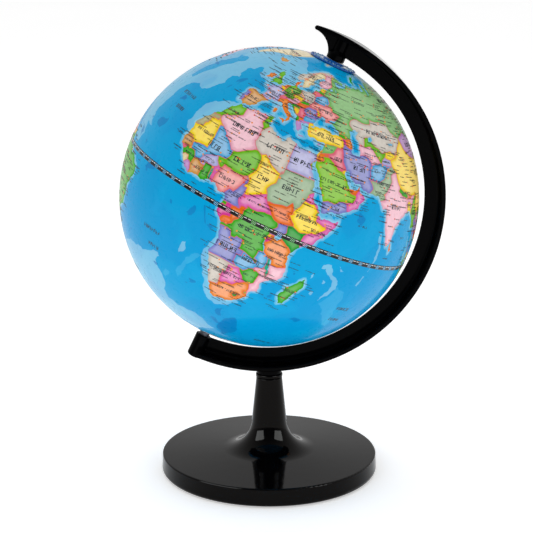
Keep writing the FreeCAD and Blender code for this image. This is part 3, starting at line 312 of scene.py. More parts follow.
# Countries in printing order: a later one covers an earlier one, and only land takes ink.
COUNTRIES = [
    ("morocco", "grass", "-13 27.7 -8.7 27.7 -8.7 28.7 -5.5 29.9 -3.6 31 -1.2 32.2 -1.8 35.2 -3 37 -8 37"
     " -12 33"),
    ("western_sahara", "khaki", "-19 20.8 -13 21.3 -13 23 -12 23.4 -12 26 -8.7 26 -8.7 27.7 -14 27.7 -17"
     " 26"),
    ("mauritania", "yellow", "-19 20.8 -13 21.3 -13 23 -12 23.4 -12 26 -8.7 26 -8.7 27.3 -4.8 25 -6.5 24.9"
     " -5.5 15.5 -9.3 15.5 -12.3 14.8 -14.5 16.6 -16.5 16.1 -19 17"),
    ("senegal", "tan", "-19 16.1 -16.3 16.3 -14.4 16.6 -12.2 14.8 -11.4 12.4 -13.7 12.7 -16.7 12.4 -19"
     " 12.3"),
    ("guinea_bissau", "rose", "-17 12.3 -13.7 12.6 -13.7 11.7 -15 10.9 -17 11"),
    ("guinea", "leaf", "-13.7 12.7 -11.4 12.4 -9.3 12.4 -8 10.2 -7.9 8.2 -8.4 7.6 -9.5 8.3 -10.3 8.5 -10.8"
     " 9.9 -12.5 9.9 -13.3 9.1 -15.3 10.8 -13.7 11.7"),
    ("sierra_leone", "cream", "-13.4 9.1 -12.5 9.9 -10.8 9.9 -10.3 8.4 -11.4 6.8 -13.5 7.5"),
    ("liberia", "lilac", "-11.5 6.8 -10.3 8.5 -9.5 8.3 -8.4 7.6 -7.5 5.8 -7.5 4.2 -9.5 4.5"),
    ("ivory_coast", "tan", "-8.4 7.6 -8 10.2 -6.2 10.6 -4.6 9.7 -2.8 9.6 -3.2 6.8 -3 5 -4 4.5 -7.6 4.2 -7.5"
     " 5.8"),
    ("ghana", "leaf", "-2.8 9.6 -2.9 11 -.1 11.1 .4 10.3 .5 7 1.2 6 1 5 -3 4.5 -3.2 6.8"),
    ("togo", "teal", "-.1 11.1 .9 11 1.6 9.2 1.7 6 1.2 6 .5 7 .4 10.3"),
    ("benin", "orchid", ".9 11 2.4 12.2 3.6 11.7 2.7 9 2.7 6 1.7 6 1.6 9.2"),
    ("burkina", "lavender", "-5.5 11 -4.3 13.2 -2 14.2 .2 15 1 13.4 2.2 12.6 2.2 11.9 .9 11 -2.9 11 -2.8"
     " 9.6 -4.7 9.7 -5.5 10.4"),
    ("mali", "sky", "-12.2 14.8 -9.3 15.5 -5.5 15.5 -6.5 25 -4.8 25 1.2 21.1 3.2 19.1 4.2 19.2 4.2 16.8 3.5"
     " 15.4 .2 15 -2 14.2 -4.3 13.2 -5.5 11 -5.5 10.4 -6.2 10.6 -8 10.2 -9.3 12.4 -11.4 12.4"),
    ("niger", "grass", "4.2 19.2 5.8 19.5 12 23.5 14.2 22.6 15.2 21.4 15.6 18 15.5 16.9 13.6 13.7 12 13 9"
     " 12.8 7 13.1 4.1 13.5 3.6 11.7 2.4 12.2 1 13.4 .2 15 3.5 15.4 4.2 16.8"),
    ("algeria", "pink", "-8.7 27.7 -8.7 28.7 -5.5 29.9 -3.6 31 -1.2 32.2 -1.8 35.2 -2.2 37 8.6 38 8.2 36.5"
     " 8.3 35.3 7.5 34 7.8 33.2 9.1 32.1 9.5 30.2 9.9 26.5 9.4 26.2 12 23.5 5.8 19.5 4.2 19.2 3.2 19.1 1.2"
     " 21.1 -4.8 25 -8.7 27.3"),
    ("tunisia", "grass", "8.6 38 8.2 36.5 8.3 35.3 7.5 34 7.8 33.2 9.1 32.1 9.5 30.2 10.3 31.7 11.5 33.1 12"
     " 34 12 38"),
    ("libya", "grey", "9.5 30.2 9.9 26.5 9.4 26.2 12 23.5 14.2 22.6 16 23.4 24 19.5 24 20 25 20 25 33.5"
     " 11.6 33.8 11.5 33.1 10.3 31.7"),
    ("chad", "gold", "14.2 22.6 16 23.4 24 19.5 24 15.7 22.5 14.1 21.9 12.6 22.9 11 18.9 8.9 16.7 7.7 15.5"
     " 7.5 15.5 9.9 14 10 15 11.5 14.9 12.7 13.6 13.7 15.5 16.9 15.6 18 15.2 21.4"),
    ("nigeria", "salmon", "2.7 6 2.7 9 3.6 11.7 4.1 13.5 7 13.1 9 12.8 12 13 13.6 13.7 14.6 13 14.2 12.4"
     " 13.2 10 11.5 6.6 10 7 8.6 4.8 8 3.8 4 4"),
    ("cameroon", "periwinkle", "8.5 4.5 10 7 11.5 6.6 13.2 10 14.2 12.4 14.6 13 15 11.5 14 10 15.5 9.9 15.5"
     " 7.5 14.5 5.5 14.7 4.5 16.2 2.2 13.3 2.2 9.8 2.3 8.5 3"),
    ("central_africa", "orchid", "15.5 7.5 16.7 7.7 18.9 8.9 21 10 22.9 11 24 8.7 25.2 7.5 27.4 5 25 5 22.5"
     " 4.1 18.6 4.4 18.4 3.5 16.5 3.5 16.2 2.2 14.7 4.5 14.5 5.5"),
    ("sudan", "sage", "25 22 37.5 22 38.6 18 37 17 36.4 14.3 34.9 11 34 9.5 32.5 12 31 9.8 28 9.4 24.5 9 24"
     " 8.7 22.9 11 21.9 12.6 22.5 14.1 24 15.7 24 20 25 20"),
    ("egypt", "lavender", "25 22 37.5 22 36 25 34.9 29.5 34.2 31.3 34 33 25 33.5"),
    ("south_sudan", "vermilion", "24 8.7 24.5 9 28 9.4 31 9.8 32.5 12 33.9 9.5 34 8 33 7.8 35.9 5.3 35.9"
     " 4.6 34 4.2 31.8 3.6 30.8 3.5 28.4 4.3 27.4 5 25.2 7.5"),
    ("eritrea", "orchid", "36.4 14.3 37 17 38.6 18.2 40 16 43.4 12.6 42.4 12.5 40.2 14.4 37.5 14.2"),
    ("ethiopia", "yellow", "36.4 14.3 37.5 14.2 40.2 14.4 42.4 12.5 41.8 11 42.9 11 43 9.2 44 9 47.9 8 45 5"
     " 41.9 3.9 41 3.9 39.5 3.4 38 3.7 35.9 4.6 35.9 5.3 33 7.8 34 8 34 9.5 34.9 11"),
    ("djibouti", "leaf", "42.4 12.5 43.4 12.8 43.5 11.3 42.9 11 41.8 11"),
    ("somalia", "orchid", "42.9 11 43.3 11.6 47 11.6 52 12.5 51 8 47 1 41.6 -1.7 41 -.8 41 2.8 41.9 3.9 45"
     " 5 47.9 8 44 9 43 9.2"),
    ("kenya", "forest", "34 4.2 35.9 4.6 38 3.7 39.5 3.4 41 3.9 41.9 3.9 41 2.8 41 -.8 41.6 -1.7 41 -3 39.3"
     " -4.7 37.7 -3 34 -1 33.9 .1 34.9 1.5"),
    ("uganda", "periwinkle", "30.8 3.5 31.8 3.6 34 4.2 34.9 1.5 33.9 .1 34 -1 30.4 -1.1 29.6 -1.4 29.7 .5"
     " 31.2 2.2"),
    ("tanzania", "orange", "30.4 -1.1 34 -1 37.7 -3 39.3 -4.7 40 -7 40.5 -10.5 37.5 -11.7 34.6 -11.5 34"
     " -9.5 32.9 -9.4 30.8 -8.3 29.5 -6 29.4 -4.5 30.8 -3.3 30.5 -2.4"),
    ("rwanda", "yellow", "28.9 -1.5 30.4 -1.1 30.9 -2.4 29 -2.7"),
    ("burundi", "magenta", "29 -2.7 30.9 -2.4 30.8 -3.3 29.4 -4.5"),
    ("congo_basin", "leaf", "18.6 4.4 22.5 4.1 25 5 27.4 5 28.4 4.3 30.8 3.5 31.2 2.2 29.7 .5 29.6 -1.4 29"
     " -2.7 29.2 -4.4 29.5 -6 30.8 -8.3 28.7 -8.5 28.4 -11.8 29.8 -12.2 29.8 -13.4 27 -12 25 -11.3 24 -11"
     " 22 -11.1 21.8 -7.3 19.5 -7 19 -8 17.5 -8.1 16.6 -5.9 12 -6 12.2 -5 13 -4.6 14.4 -4.9 16 -3.5 16.2"
     " -2.2 17.8 -.5 18 2.5 18.6 3.5"),
    ("congo", "vermilion", "16.2 2.2 16.5 3.5 18.6 3.5 18 2.5 17.8 -.5 16.2 -2.2 16 -3.5 14.4 -4.9 13 -4.6"
     " 12 -5 11 -4 11.8 -2.5 14.4 -1.9 14.2 -.5 13.2 1.3 13.3 2.2"),
    ("gabon", "magenta", "13.3 2.2 13.2 1.3 14.2 -.5 14.4 -1.9 11.8 -2.5 11 -4 8 -1.5 9 1 11.3 1 11.3 2.2"),
    ("equatorial_guinea", "leaf", "9 1 11.3 1 11.3 2.2 9.5 2.3"),
    ("angola", "periwinkle", "12 -6 16.6 -5.9 17.5 -8.1 19 -8 19.5 -7 21.8 -7.3 22 -11.1 24 -11 24 -13 22"
     " -13 22 -16.2 23.4 -17.6 14 -17.4 11.5 -17.3 10 -12"),
    ("zambia", "sky", "24 -11 25 -11.3 27 -12 29.8 -13.4 29.8 -12.2 28.4 -11.8 28.7 -8.5 30.8 -8.3 32.9"
     " -9.4 33.3 -11 33 -14 30.2 -15 30.2 -15.6 28.9 -16 27 -17.9 25.2 -17.8 23.4 -17.6 22 -16.2 22 -13 24"
     " -13"),
    ("malawi", "teal", "32.9 -9.4 34 -9.5 34.6 -11.5 34.4 -12.2 35.8 -14.8 35.3 -17.1 34.3 -15.5 34.5 -14.4"
     " 33 -14 33.3 -11"),
    ("mozambique", "pink", "40.5 -10.5 37.5 -11.7 34.6 -11.5 34.9 -13.7 35.8 -14.8 35.3 -17.1 34.3 -15.5"
     " 34.5 -14.4 33 -14 30.2 -15 30.4 -15.9 32.9 -16.7 32.8 -19 32.5 -21.3 31.3 -22.4 32 -24.5 32 -26.8 34"
     " -27 37 -25 42 -17 42 -11"),
    ("zimbabwe", "leaf", "30.4 -15.9 32.9 -16.7 32.8 -19 32.5 -21.3 31.3 -22.4 29.4 -22.2 28 -21.5 27.3"
     " -20.3 25.2 -17.8 27 -17.9 28.9 -16"),
    ("botswana", "orchid", "25.2 -17.8 27.3 -20.3 28 -21.5 29.4 -22.2 27 -23.7 25.5 -25.6 22.8 -25.5 20.7"
     " -26.8 20 -25 20 -22 21 -22 21 -18.3 23.5 -18.2"),
    ("namibia", "grey", "11.5 -17.3 23.4 -17.6 25.2 -17.8 23.5 -18.2 21 -18.3 21 -22 20 -22 20 -28.4 17.5"
     " -28.7 16.4 -28.7 14 -28 11 -20"),
    ("south_africa", "orange", "16.4 -28.7 17.5 -28.7 20 -28.4 20 -25 20.7 -26.8 22.8 -25.5 25.5 -25.6 27"
     " -23.7 29.4 -22.2 31.3 -22.4 32 -24.5 32 -26.8 34 -27 32 -31 26 -36 17 -36 15 -30"),
    ("lesotho", "forest", "27 -29.6 28.6 -28.6 29.4 -29.6 28 -30.6"),
    ("eswatini", "lime", "30.8 -26.3 32.1 -26 32 -27.3 31 -27"),
    ("russia", "mint", "27 55 27 60 31.5 63 29.5 66 28.5 69 31 70 31 73 100 83 179.8 78 179.8 50 150 42 130"
     " 42.2 47 41 39.9 43.3 36 44.5 38 47 33 52"),
    ("portugal", "periwinkle", "-10 42 -8.2 42 -6.6 41.8 -6.9 40 -7.3 38.4 -7.4 37 -9.5 36.5"),
    ("spain", "tan", "-10 44.5 -1.8 43.4 .7 42.7 3.3 42.4 5 40 0 36 -6 35.9 -7.4 37 -7.3 38.4 -6.9 40 -6.6"
     " 41.8 -8.2 42"),
    ("france", "lavender", "-1.8 43.4 .7 42.7 3.3 42.4 7.5 43.5 7 44.5 7 45.9 6 46.3 7.6 47.6 8.2 49 6 49.5"
     " 4.2 50 2.5 51.2 -2 50 -6 48.5"),
    ("belgium", "gold", "2.5 51.3 4.2 50 6.1 49.5 6 51 4.3 51.5"),
    ("netherlands", "orange", "3.4 51.4 6 51 7.2 53.3 5 53.6"),
    ("germany", "grass", "6 51 6.1 49.5 8.2 49 7.6 47.6 10 47.4 13 47.6 13.8 48.8 12.2 50.3 14.9 50.9 14.4"
     " 53.9 11 54.8 8.5 55 7 53.7"),
    ("switzerland", "rose", "6 46.3 7 45.9 9 46 10.4 46.8 9.6 47.5 7.6 47.6"),
    ("austria", "pink", "9.6 47.5 10.4 46.8 13.7 46.5 16.1 46.8 17.1 48 15 49 13.8 48.8 13 47.6"),
    ("italy", "orange", "7 45.9 9 46 10.4 46.8 13.7 46.5 13.7 45.6 13 44.5 19 40.5 17 37.5 12 41 7.5 43.5 7"
     " 44.5"),
    ("czechia", "yellow", "12.2 50.3 13.8 48.8 15 49 17 48.8 18.8 49.5 16 50.6 14.9 50.9"),
    ("poland", "grey", "14.4 53.9 14.9 50.9 16 50.6 18.8 49.5 22.6 49.2 24 50.8 23.6 52.6 23.3 54 19.6 54.4"
     " 18 55.2"),
    ("slovakia", "leaf", "17.1 48 18.8 49.5 22.6 49.2 22.2 48.4 20 48.2 18.8 47.8"),
    ("hungary", "vermilion", "16.1 46.8 17.1 48 18.8 47.8 22.2 48.3 22.8 47.8 20.8 46.2 18.8 45.9 16.5"
     " 46.4"),
    ("romania", "periwinkle", "20.8 46.2 22.8 47.9 26.6 48.2 28.2 46.5 28.2 45.4 30 45.2 29 43.7 27 44.1"
     " 22.9 43.8 22.6 44.6 21.4 45"),
    ("moldova", "yellow", "26.6 48.2 28.2 48.1 30 46.5 28.2 45.4 28.2 46.5"),
    ("bulgaria", "sky", "22.9 43.8 27 44.1 29 43.7 28 42 26.3 41.7 23 41.3 22.4 42.4"),
    ("croatia", "leaf", "13.6 45.5 16.1 46.6 18.8 45.9 19 44.9 16 45.1 18.5 42.4 15 43 13 45"),
    ("bosnia", "gold", "15.8 45.2 19 44.9 19.3 43.6 18.5 42.6 16.5 44"),
    ("serbia", "rose", "19 44.9 18.8 45.9 20.3 46.1 21.4 45 22.6 44.6 22.9 43.8 22.4 42.4 20.6 42 19.2"
     " 43.5"),
    ("albania", "leaf", "19.2 41.8 20.5 42 21 40.9 20 39.7 19 40.5"),
    ("macedonia", "orange", "20.5 42 22.4 42.3 23 41.3 21 40.9"),
    ("greece", "lilac", "20 39.7 21 40.9 23 41.3 26.3 41.7 26.2 40.7 25 39 24 36 23 34.5 19 38"),
    ("ukraine", "salmon", "22.2 48.4 24 50.8 23.6 51.5 30.6 51.3 34 52.3 35.4 50.5 40 49.6 38.2 47.1 36 45"
     " 33 44 30 46 28.2 45.4 30 46.5 28.2 48.1 26.6 48.2 22.8 47.9"),
    ("belarus", "sky", "23.6 51.5 23.6 53.9 26.6 55.6 28.2 56.1 30.9 55.6 32.7 53.4 31.5 52.2 30.6 51.3"),
    ("lithuania", "rose", "20.8 55.3 21 56.3 25 56.4 26.6 55.6 23.6 53.9 22.8 54.4"),
    ("latvia", "leaf", "21 56.3 25 56.4 28.2 56.1 27.4 57.5 24.3 57.9 21 57.8"),
    ("estonia", "gold", "24.3 57.9 27.4 57.5 28.2 59.5 23 59.8 21.5 58.5"),
    ("finland", "pink", "20.5 60 28 60.5 31.5 62.9 29.5 66 28.5 68.9 28 70 25.7 69 21 69.2 23.7 68 24.1"
     " 65.8 21 63"),
    ("sweden", "cream", "11.2 58.9 12.3 61.8 13 64 14.5 66 16.1 68 18.2 68.6 20.5 69.1 23.7 67.9 24.1 65.8"
     " 17.5 60 19 56 13 55.2 11 58"),
    ("norway", "grey", "4 58 11 58.2 11.2 58.9 12.3 61.8 13 64 14.5 66 16.1 68 18.2 68.6 20.5 69.1 25.7 69"
     " 28 70 31 69.6 31 72 10 66 3 61"),
    ("denmark", "vermilion", "7.5 57.5 8.5 54.9 11 54.6 11.5 58"),
    ("turkey", "gold", "26.2 39.4 26 41.7 28 42 35 42.3 41.5 41.5 43.5 41.1 44.8 39.7 44.8 37.2 42.4 37.1"
     " 38.4 36.8 36.7 36.2 36 35.9 33 35.8 27 36"),
    ("georgia", "leaf", "40 43.5 44 42.7 46.5 41.8 45 41.2 41.5 41.5"),
    ("azerbaijan", "orange", "46.5 41.8 48.5 41.9 50.5 40.3 48.8 38.4 46.5 38.9 45 41.2"),
    ("armenia", "magenta", "43.5 41.1 45 41.2 46.5 38.9 44.8 39.7"),
    ("syria", "mint", "36 35.9 36.7 36.6 38.4 36.8 42.4 37.1 41 34.4 38.8 33.4 36 32.5 35.8 34.5"),
    ("jordan", "orange", "35.5 32.4 36 32.5 38.8 33.4 39.2 32.1 37 31.5 38 30.5 36 29.2 34.9 29.3"),
    ("israel", "gold", "34.2 31.3 35.8 33.4 35.5 32.4 34.9 29.3"),
    ("saudi_arabia", "lime", "34.9 29.3 36 29.2 38 30.5 37 31.5 39.2 32.1 42 31.1 44.7 29.2 46.5 29.1 47.5"
     " 28.6 48.5 28.5 51 25.5 51.6 24.2 52.6 22.9 55.2 22.7 55.7 22 55 20 52 19 49 18.6 47.5 17.1 44.5 17.4"
     " 43.2 16.7 42.6 16.3 40 17 33 27"),
    ("iraq", "rose", "42.4 37.1 44.8 37.2 45.5 35.8 46 33.2 47.8 31 48.6 29.9 47.5 29.9 46.5 29.1 44.7 29.2"
     " 42 31.1 39.2 32.1 38.8 33.4 41 34.4"),
    ("kuwait", "yellow", "46.5 29.1 47.9 30.1 48.7 29.6 48.5 28.5 47.5 28.6"),
    ("iran", "periwinkle", "44.8 37.2 44.8 39.7 46.5 38.9 48.8 38.4 52 37 54 37.4 57 38.2 60.5 36.6 61.2"
     " 35.3 60.6 33.7 61 31.4 63.2 27.2 61.6 25 56 25.8 51 27 48.4 29.9 47.8 31 46 33.2 45.5 35.8"),
    ("yemen", "periwinkle", "42 16.3 43.2 16.7 44.5 17.4 47.5 17.1 49 18.6 52 19 53.1 16.6 52 14 43 11.8"),
    ("oman", "orchid", "52 19 55 20 55.7 22 55.2 22.7 55.8 24.2 56.4 24.9 60.5 23 58 17 53.1 16.6"),
    ("emirates", "vermilion", "51.6 24.2 52.6 22.9 55.2 22.7 55.8 24.2 56.4 24.9 56.4 26.5 54 25"),
    ("afghanistan", "sky", "61.2 35.3 64.5 36.3 66.5 37.4 71.5 37 74.9 37.3 71.2 36 70 33.4 69.3 31.9 66.3"
     " 29.9 60.9 29.8 61 31.4 60.6 33.7"),
    ("india", "pink", "68.2 23.6 71 24.5 70.2 26.5 71.9 28 74.6 31.5 74 34 77.8 35.5 79 32.5 81 30.2 80.1"
     " 28.8 83 27.4 88.1 26.4 88.8 28 92 27.5 97.3 28.3 95 26.5 93.3 24 92.5 22.5 91.2 23.5 92.3 25 89.8"
     " 25.9 88.1 24.5 89 22 90 20 78 5 66 22"),
    ("pakistan", "sage", "61.6 25 63.2 27.2 61 29.8 66.3 29.9 69.3 31.9 70 33.4 71.2 36 74.9 37.3 77.8 35.5"
     " 74 34 74.6 31.5 71.9 28 70.2 26.5 71 24.5 68.2 23.6 66 24"),
    ("nepal", "leaf", "80.1 28.8 81 30.2 84 29.2 88.1 27.9 88.1 26.4 83 27.4"),
    ("bhutan", "orange", "88.8 27.3 90 28.3 92 27.8 92 26.9 89 26.8"),
    ("bangladesh", "yellow", "88.1 24.5 89.8 25.9 92.3 25 91.2 23.5 92.5 22.5 92 20.8 89 21.5"),
    ("turkmenistan", "pink", "52.5 41.8 54.5 42 57 41.3 60 42.2 62 41 66.5 37.4 64.5 36.3 61.2 35.3 60.5"
     " 36.6 57 38.2 54 37.4 53 39"),
    ("uzbekistan", "grass", "56 41.3 56 45 58.5 45.6 62 43.5 66 42.5 68 41.2 71 42.2 73 40.8 70 40.2 68"
     " 38.8 67.5 37.2 66.5 37.4 62 41 60 42.2 57 41.3"),
    ("kazakhstan", "grey", "46.5 48.4 47 50 50 51.6 55 50.8 61 51.5 61.5 54 71 54.2 77 54.3 80 51 87.3 49.1"
     " 85.5 47.2 82.3 45.4 80.3 43 79 42.2 74 43 71 42.3 68 41.2 66 42.5 62 43.5 58.5 45.6 56 45 56 41.3"
     " 52.5 41.8 50 44.5 49 46.5"),
    ("kyrgyzstan", "yellow", "69.5 39.5 71 42.3 74 43 80.2 42.2 74 39.7"),
    ("tajikistan", "lavender", "67.5 37.2 68 38.8 70 40.2 70.5 39.6 74 39.5 75 37.4 71.5 37"),
    ("china", "gold", "73.6 39.4 80.2 42.2 82.3 45.4 85.5 47.2 87.8 49.2 91 45.2 97 42.7 105 41.6 111.5"
     " 43.5 119.8 47 116.7 49.8 120 53.3 125.5 53 127.5 49.8 131 47.7 134.7 48.4 131 44.9 130.6 42.4 128 42"
     " 124.3 39.9 122 38 124 30 120 23 113 20.5 108 21.5 105.3 23.3 102 22.4 101 21.2 99.2 22.2 97.6 24"
     " 98.7 27.5 97.3 28.3 92 27.8 88.8 28 84 29.2 81 30.2 79 32.5 77.8 35.5 74.9 37.3"),
    ("mongolia", "lilac", "87.8 49.2 92 50.7 98 52 102 51.4 107 49.8 114 50.2 116.7 49.8 119.8 47 115.5 45"
     " 111.5 43.5 105 41.6 97 42.7 91 45.2"),
    ("north_korea", "orange", "124.3 39.9 128 42 130.6 42.4 129 40 128.3 38.6 126.5 37.8 124.5 38"),
    ("south_korea", "grass", "126.5 37.8 128.3 38.6 130 37 129 34 125 34"),
    ("myanmar", "grass", "92.3 20.8 92.5 22.5 93.3 24 95 26.5 97.3 28.3 98.7 27.5 97.6 24 99.2 22.2 101"
     " 21.2 99.8 20.2 97.4 18.4 98.9 16.4 98.2 15 99.6 11.8 98 9 94 15.5"),
    ("thailand", "periwinkle", "99.8 20.2 97.4 18.4 98.9 16.4 98.2 15 99.6 11.8 98 9 98 6.5 100.1 6.5 101"
     " 5.7 102.2 6.2 100.5 11 100.5 13 102.8 12 102.5 14 105.2 14.3 104.8 16.4 103 18.3 101 17.6 100.6"
     " 20.2"),
    ("laos", "pink", "100.1 20.4 102.1 22.4 104.6 19.8 107.5 15.3 107.5 14.5 105.2 14.3 104.8 16.4 103 18.3"
     " 101 17.6 100.6 20"),
    ("cambodia", "vermilion", "102.5 14 105.2 14.3 107.5 14.5 107.5 12.3 105 10.7 102.8 11.6"),
    ("vietnam", "lime", "102.1 22.4 105.3 23.3 108 21.5 109 17 110 12 105 8.3 104.5 10.4 105 10.7 107.5"
     " 12.3 107.5 15.3 104.6 19.8"),
    ("malaya", "yellow", "100.1 6.5 101 5.7 102.2 6.2 104.5 3 104 1.2 101 2.5"),
    ("north_borneo", "yellow", "109.5 1.5 112 1.4 115 4 117.5 4.2 119.5 5 117 7.5 112 4 109.5 2.2"),
    ("papua", "vermilion", "141 -2 141 -10 152 -11 152 -4"),
    ("united_states", "lime", "-123.2 49 -95.2 49 -89.5 48 -84.5 46.5 -82.5 45.3 -82.8 42.2 -79 42.8 -76.5"
     " 44 -74.7 45 -71.3 45.2 -69 47.4 -67.8 47 -67 44.8 -65 42 -74 35 -79 24 -97 25.5 -99.3 26.8 -101.4"
     " 29.8 -103.2 29 -106.5 31.8 -108.2 31.8 -111 31.3 -114.8 32.5 -117.1 32.5 -128 32 -128 48.5"),
    ("alaska", "lime", "-141 72 -141 60.3 -137.5 58.9 -130 55.5 -130.5 54 -170 50 -172 72"),
    ("mexico", "orange", "-117.5 32.5 -114.8 32.5 -111 31.3 -108.2 31.8 -106.5 31.8 -103.2 29 -101.4 29.8"
     " -99.3 26.8 -97 25.5 -94 22 -86 22 -87.5 18.3 -89.2 17.9 -91 17.8 -90.4 16.1 -92.2 14.4 -100 14 -112"
     " 20 -120 30"),
    ("guatemala", "mint", "-92.2 14.4 -90.4 16.1 -91 17.8 -89.2 17.9 -88.3 15.7 -89.4 14.4 -90.2 13.5"),
    ("honduras", "gold", "-89.4 14.4 -88.3 16.2 -83 15.5 -83.2 14.9 -85.5 13.9 -87 13"),
    ("nicaragua", "orchid", "-87.7 12.9 -85.5 13.9 -83 15 -83 11 -85.7 11"),
    ("costa_rica", "leaf", "-86 11 -83.5 11 -82.5 9.5 -83 8"),
    ("panama", "periwinkle", "-82.9 9.6 -77.3 8.8 -77.9 7 -83 8"),
    ("colombia", "orange", "-77.4 8.7 -76 12 -71.3 12.5 -72.5 11 -73 9 -72 7.2 -67.5 6.2 -67.2 1.2 -69.8"
     " 1.7 -69.4 -1 -70 -4.2 -72.9 -2.4 -75.3 -.1 -77.5 .5 -79.5 1.6 -79 7"),
    ("venezuela", "lavender", "-71.3 12.2 -72.5 11 -73 9 -72 7.2 -67.5 6.2 -67.2 1.2 -64 1.5 -63.5 4 -60.7"
     " 5.2 -61.3 6.1 -59.9 8.3 -61 11.5"),
    ("guyana", "tan", "-59.9 8.3 -61.3 6.1 -60.7 5.2 -59.8 3.5 -59 1.4 -57 2 -58 4 -57.2 6.3"),
    ("suriname", "pink", "-57.2 6.3 -58 4 -57 2 -54.5 2.3 -54 5.9"),
    ("cayenne", "gold", "-54 5.9 -54.5 2.3 -52.6 2.4 -51.4 4.5"),
    ("peru", "rose", "-80.3 -3.4 -78.6 -4.6 -75.3 -.1 -72.9 -2.4 -70 -4.2 -73 -7 -72 -10 -69.5 -11 -68.8"
     " -12.5 -69.2 -15.5 -69.8 -17.6 -70.4 -18.4 -74 -18 -83 -5"),
    ("ecuador", "yellow", "-80.3 -3.4 -78.6 -4.6 -75.3 -.1 -77.5 .5 -79.5 1.6 -82 -1"),
    ("bolivia", "grey", "-69.5 -11 -65.4 -9.7 -65 -12 -60.3 -13.8 -60 -16.2 -57.8 -17.6 -58.2 -19.8 -62.5"
     " -22.2 -67.2 -22.8 -68.5 -19.5 -69.5 -17.5 -69.2 -15.5 -68.8 -12.5"),
    ("paraguay", "vermilion", "-58.2 -19.8 -62.5 -22.2 -57.8 -25.2 -58.6 -27.3 -55.8 -27.3 -54.4 -25.6"
     " -54.3 -24 -55.6 -22.4 -57.9 -22.1"),
    ("chile", "periwinkle", "-70.4 -18.4 -69.5 -17.5 -68.5 -19.5 -67.2 -22.8 -68.4 -25 -70 -30 -69.8 -34"
     " -71.5 -39 -71.8 -44 -73.4 -50 -72 -52 -68.5 -52.4 -68.5 -56 -77 -54 -76 -40 -73 -18"),
    ("argentina", "gold", "-67.2 -22.8 -62.5 -22.2 -57.8 -25.2 -58.6 -27.3 -55.8 -27.3 -54.4 -25.6 -53.7"
     " -26.5 -57.6 -30.2 -58.4 -34 -55 -36 -56 -40 -63 -56 -68.5 -56 -68.5 -52.4 -72 -52 -73.4 -50 -71.8"
     " -44 -71.5 -39 -69.8 -34 -70 -30 -68.4 -25"),
    ("uruguay", "orchid", "-57.6 -30.2 -53.5 -32.5 -53.4 -34 -55 -35.5 -58.6 -34"),
]

# Ocean names: longitude, latitude, letters and height in mm.
OCEAN_NAMES = (
    (-32, 28, 8, 2.4), (-30, 22, 5, 2.4), (-15, -22, 8, 2.4), (-13, -28, 5, 2.4), (75, -20, 6, 2.4),
    (76, -26, 5, 2.4), (-150, 15, 7, 2.6), (-150, 9, 5, 2.6), (-120, -25, 7, 2.6), (-120, -31, 5, 2.6),
    (160, 25, 7, 2.4), (62, 13, 7, 1.3), (88, 12, 6, 1.2), (18, 34, 9, 0.8), (35, 43.2, 5, 0.8),
    (115, 13, 8, 1.1), (-75, 15, 9, 1.1), (-90, 25, 6, 1.1), (-40, -48, 8, 2.0), (60, -52, 8, 2.0),
    (160, -38, 6, 1.4), (3, 58, 5, 0.8), (40, 74, 7, 1.1),
)

# Bars that a made-up glyph may have: offset across and up, half length, angle in degrees, and chance,
# in cap heights.
GLYPH_BARS = (
    (-0.24, 0.0, 0.5, 90, 0.75), (0.24, 0.0, 0.5, 90, 0.42), (0.0, 0.42, 0.27, 0, 0.45),
    (0.0, 0.0, 0.27, 0, 0.4), (0.0, -0.42, 0.27, 0, 0.4), (0.02, 0.0, 0.5, 65, 0.22),
)
SMALL_BARS = ((-0.2, 0.0, 0.5, 90, 0.85), (0.1, 0.05, 0.42, 0, 0.75))


def linear(code):
    """Linear red, green and blue of a hexadecimal screen colour."""
    c = np.array([int(code[i:i + 2], 16) for i in (0, 2, 4)]) / 255
    return tuple(np.where(c <= 0.04045, c / 12.92, ((c + 0.055) / 1.055) ** 2.4).tolist())


def solid(code):
    """The same with an alpha of 1."""
    return (*linear(code), 1.0)


def ink_table():
    """The ink of each region in order: open sea, the coasts' home inks, then the countries."""
    used = (*(COAST_INKS[name] for name in COASTS), *(ink for _, ink, _ in COUNTRIES))
    return np.array([SEA_TONES[0], *(solid(INKS[ink]) for ink in used)])


# Open sea, shelf, shoal and deep, as SEABED numbers them. Alpha 0 marks the sea.
SEA_TONES = np.array([(*linear(code), 0.0) for code in ("00a5de", "7cc6e9", "34b2e4", "008aca")])
REGION_INKS = ink_table()


# ---- geometry on the ball ----------------------------------------------------
def numbers(text):
    """The longitude and latitude pairs of an outline, one row each."""
    return np.array(text.split(), float).reshape(-1, 2)


def ragged(outline, sway, rounds=3):
    """The closed outline with its sides bent: in each round a side's middle moves sideways by up to sway
    times the side's length. The move is worked out from the two ends in a fixed order, so that the
    outlines on both sides of a shared line bend alike."""
    for _ in range(rounds):
        ahead = np.roll(outline, -1, 0)
        level = outline[:, :1] == ahead[:, :1]
        swap = (outline[:, :1] > ahead[:, :1]) | (level & (outline[:, 1:] > ahead[:, 1:]))
        low, high = np.where(swap, ahead, outline), np.where(swap, outline, ahead)
        draw = np.sin(low @ [127.1, 311.7] + high @ [269.5, 183.3]) * 437.58
        push = (draw - np.floor(draw) - 0.5) * 2 * sway
        long_side = np.abs(high - low).max(1) > 0.5
        at_seam = (np.abs(low) > SEAM).any(1) & (np.abs(high) > SEAM).any(1)
        push = np.where(long_side & ~at_seam, push, 0.0)[:, None]
        middle = (low + high) / 2 + np.stack([low[:, 1] - high[:, 1], high[:, 0] - low[:, 0]], 1) * push
        keep = np.ones((len(outline), 2), bool)
        keep[:, 1] = long_side
        outline = np.stack([outline, middle], 1)[keep]
    return outline


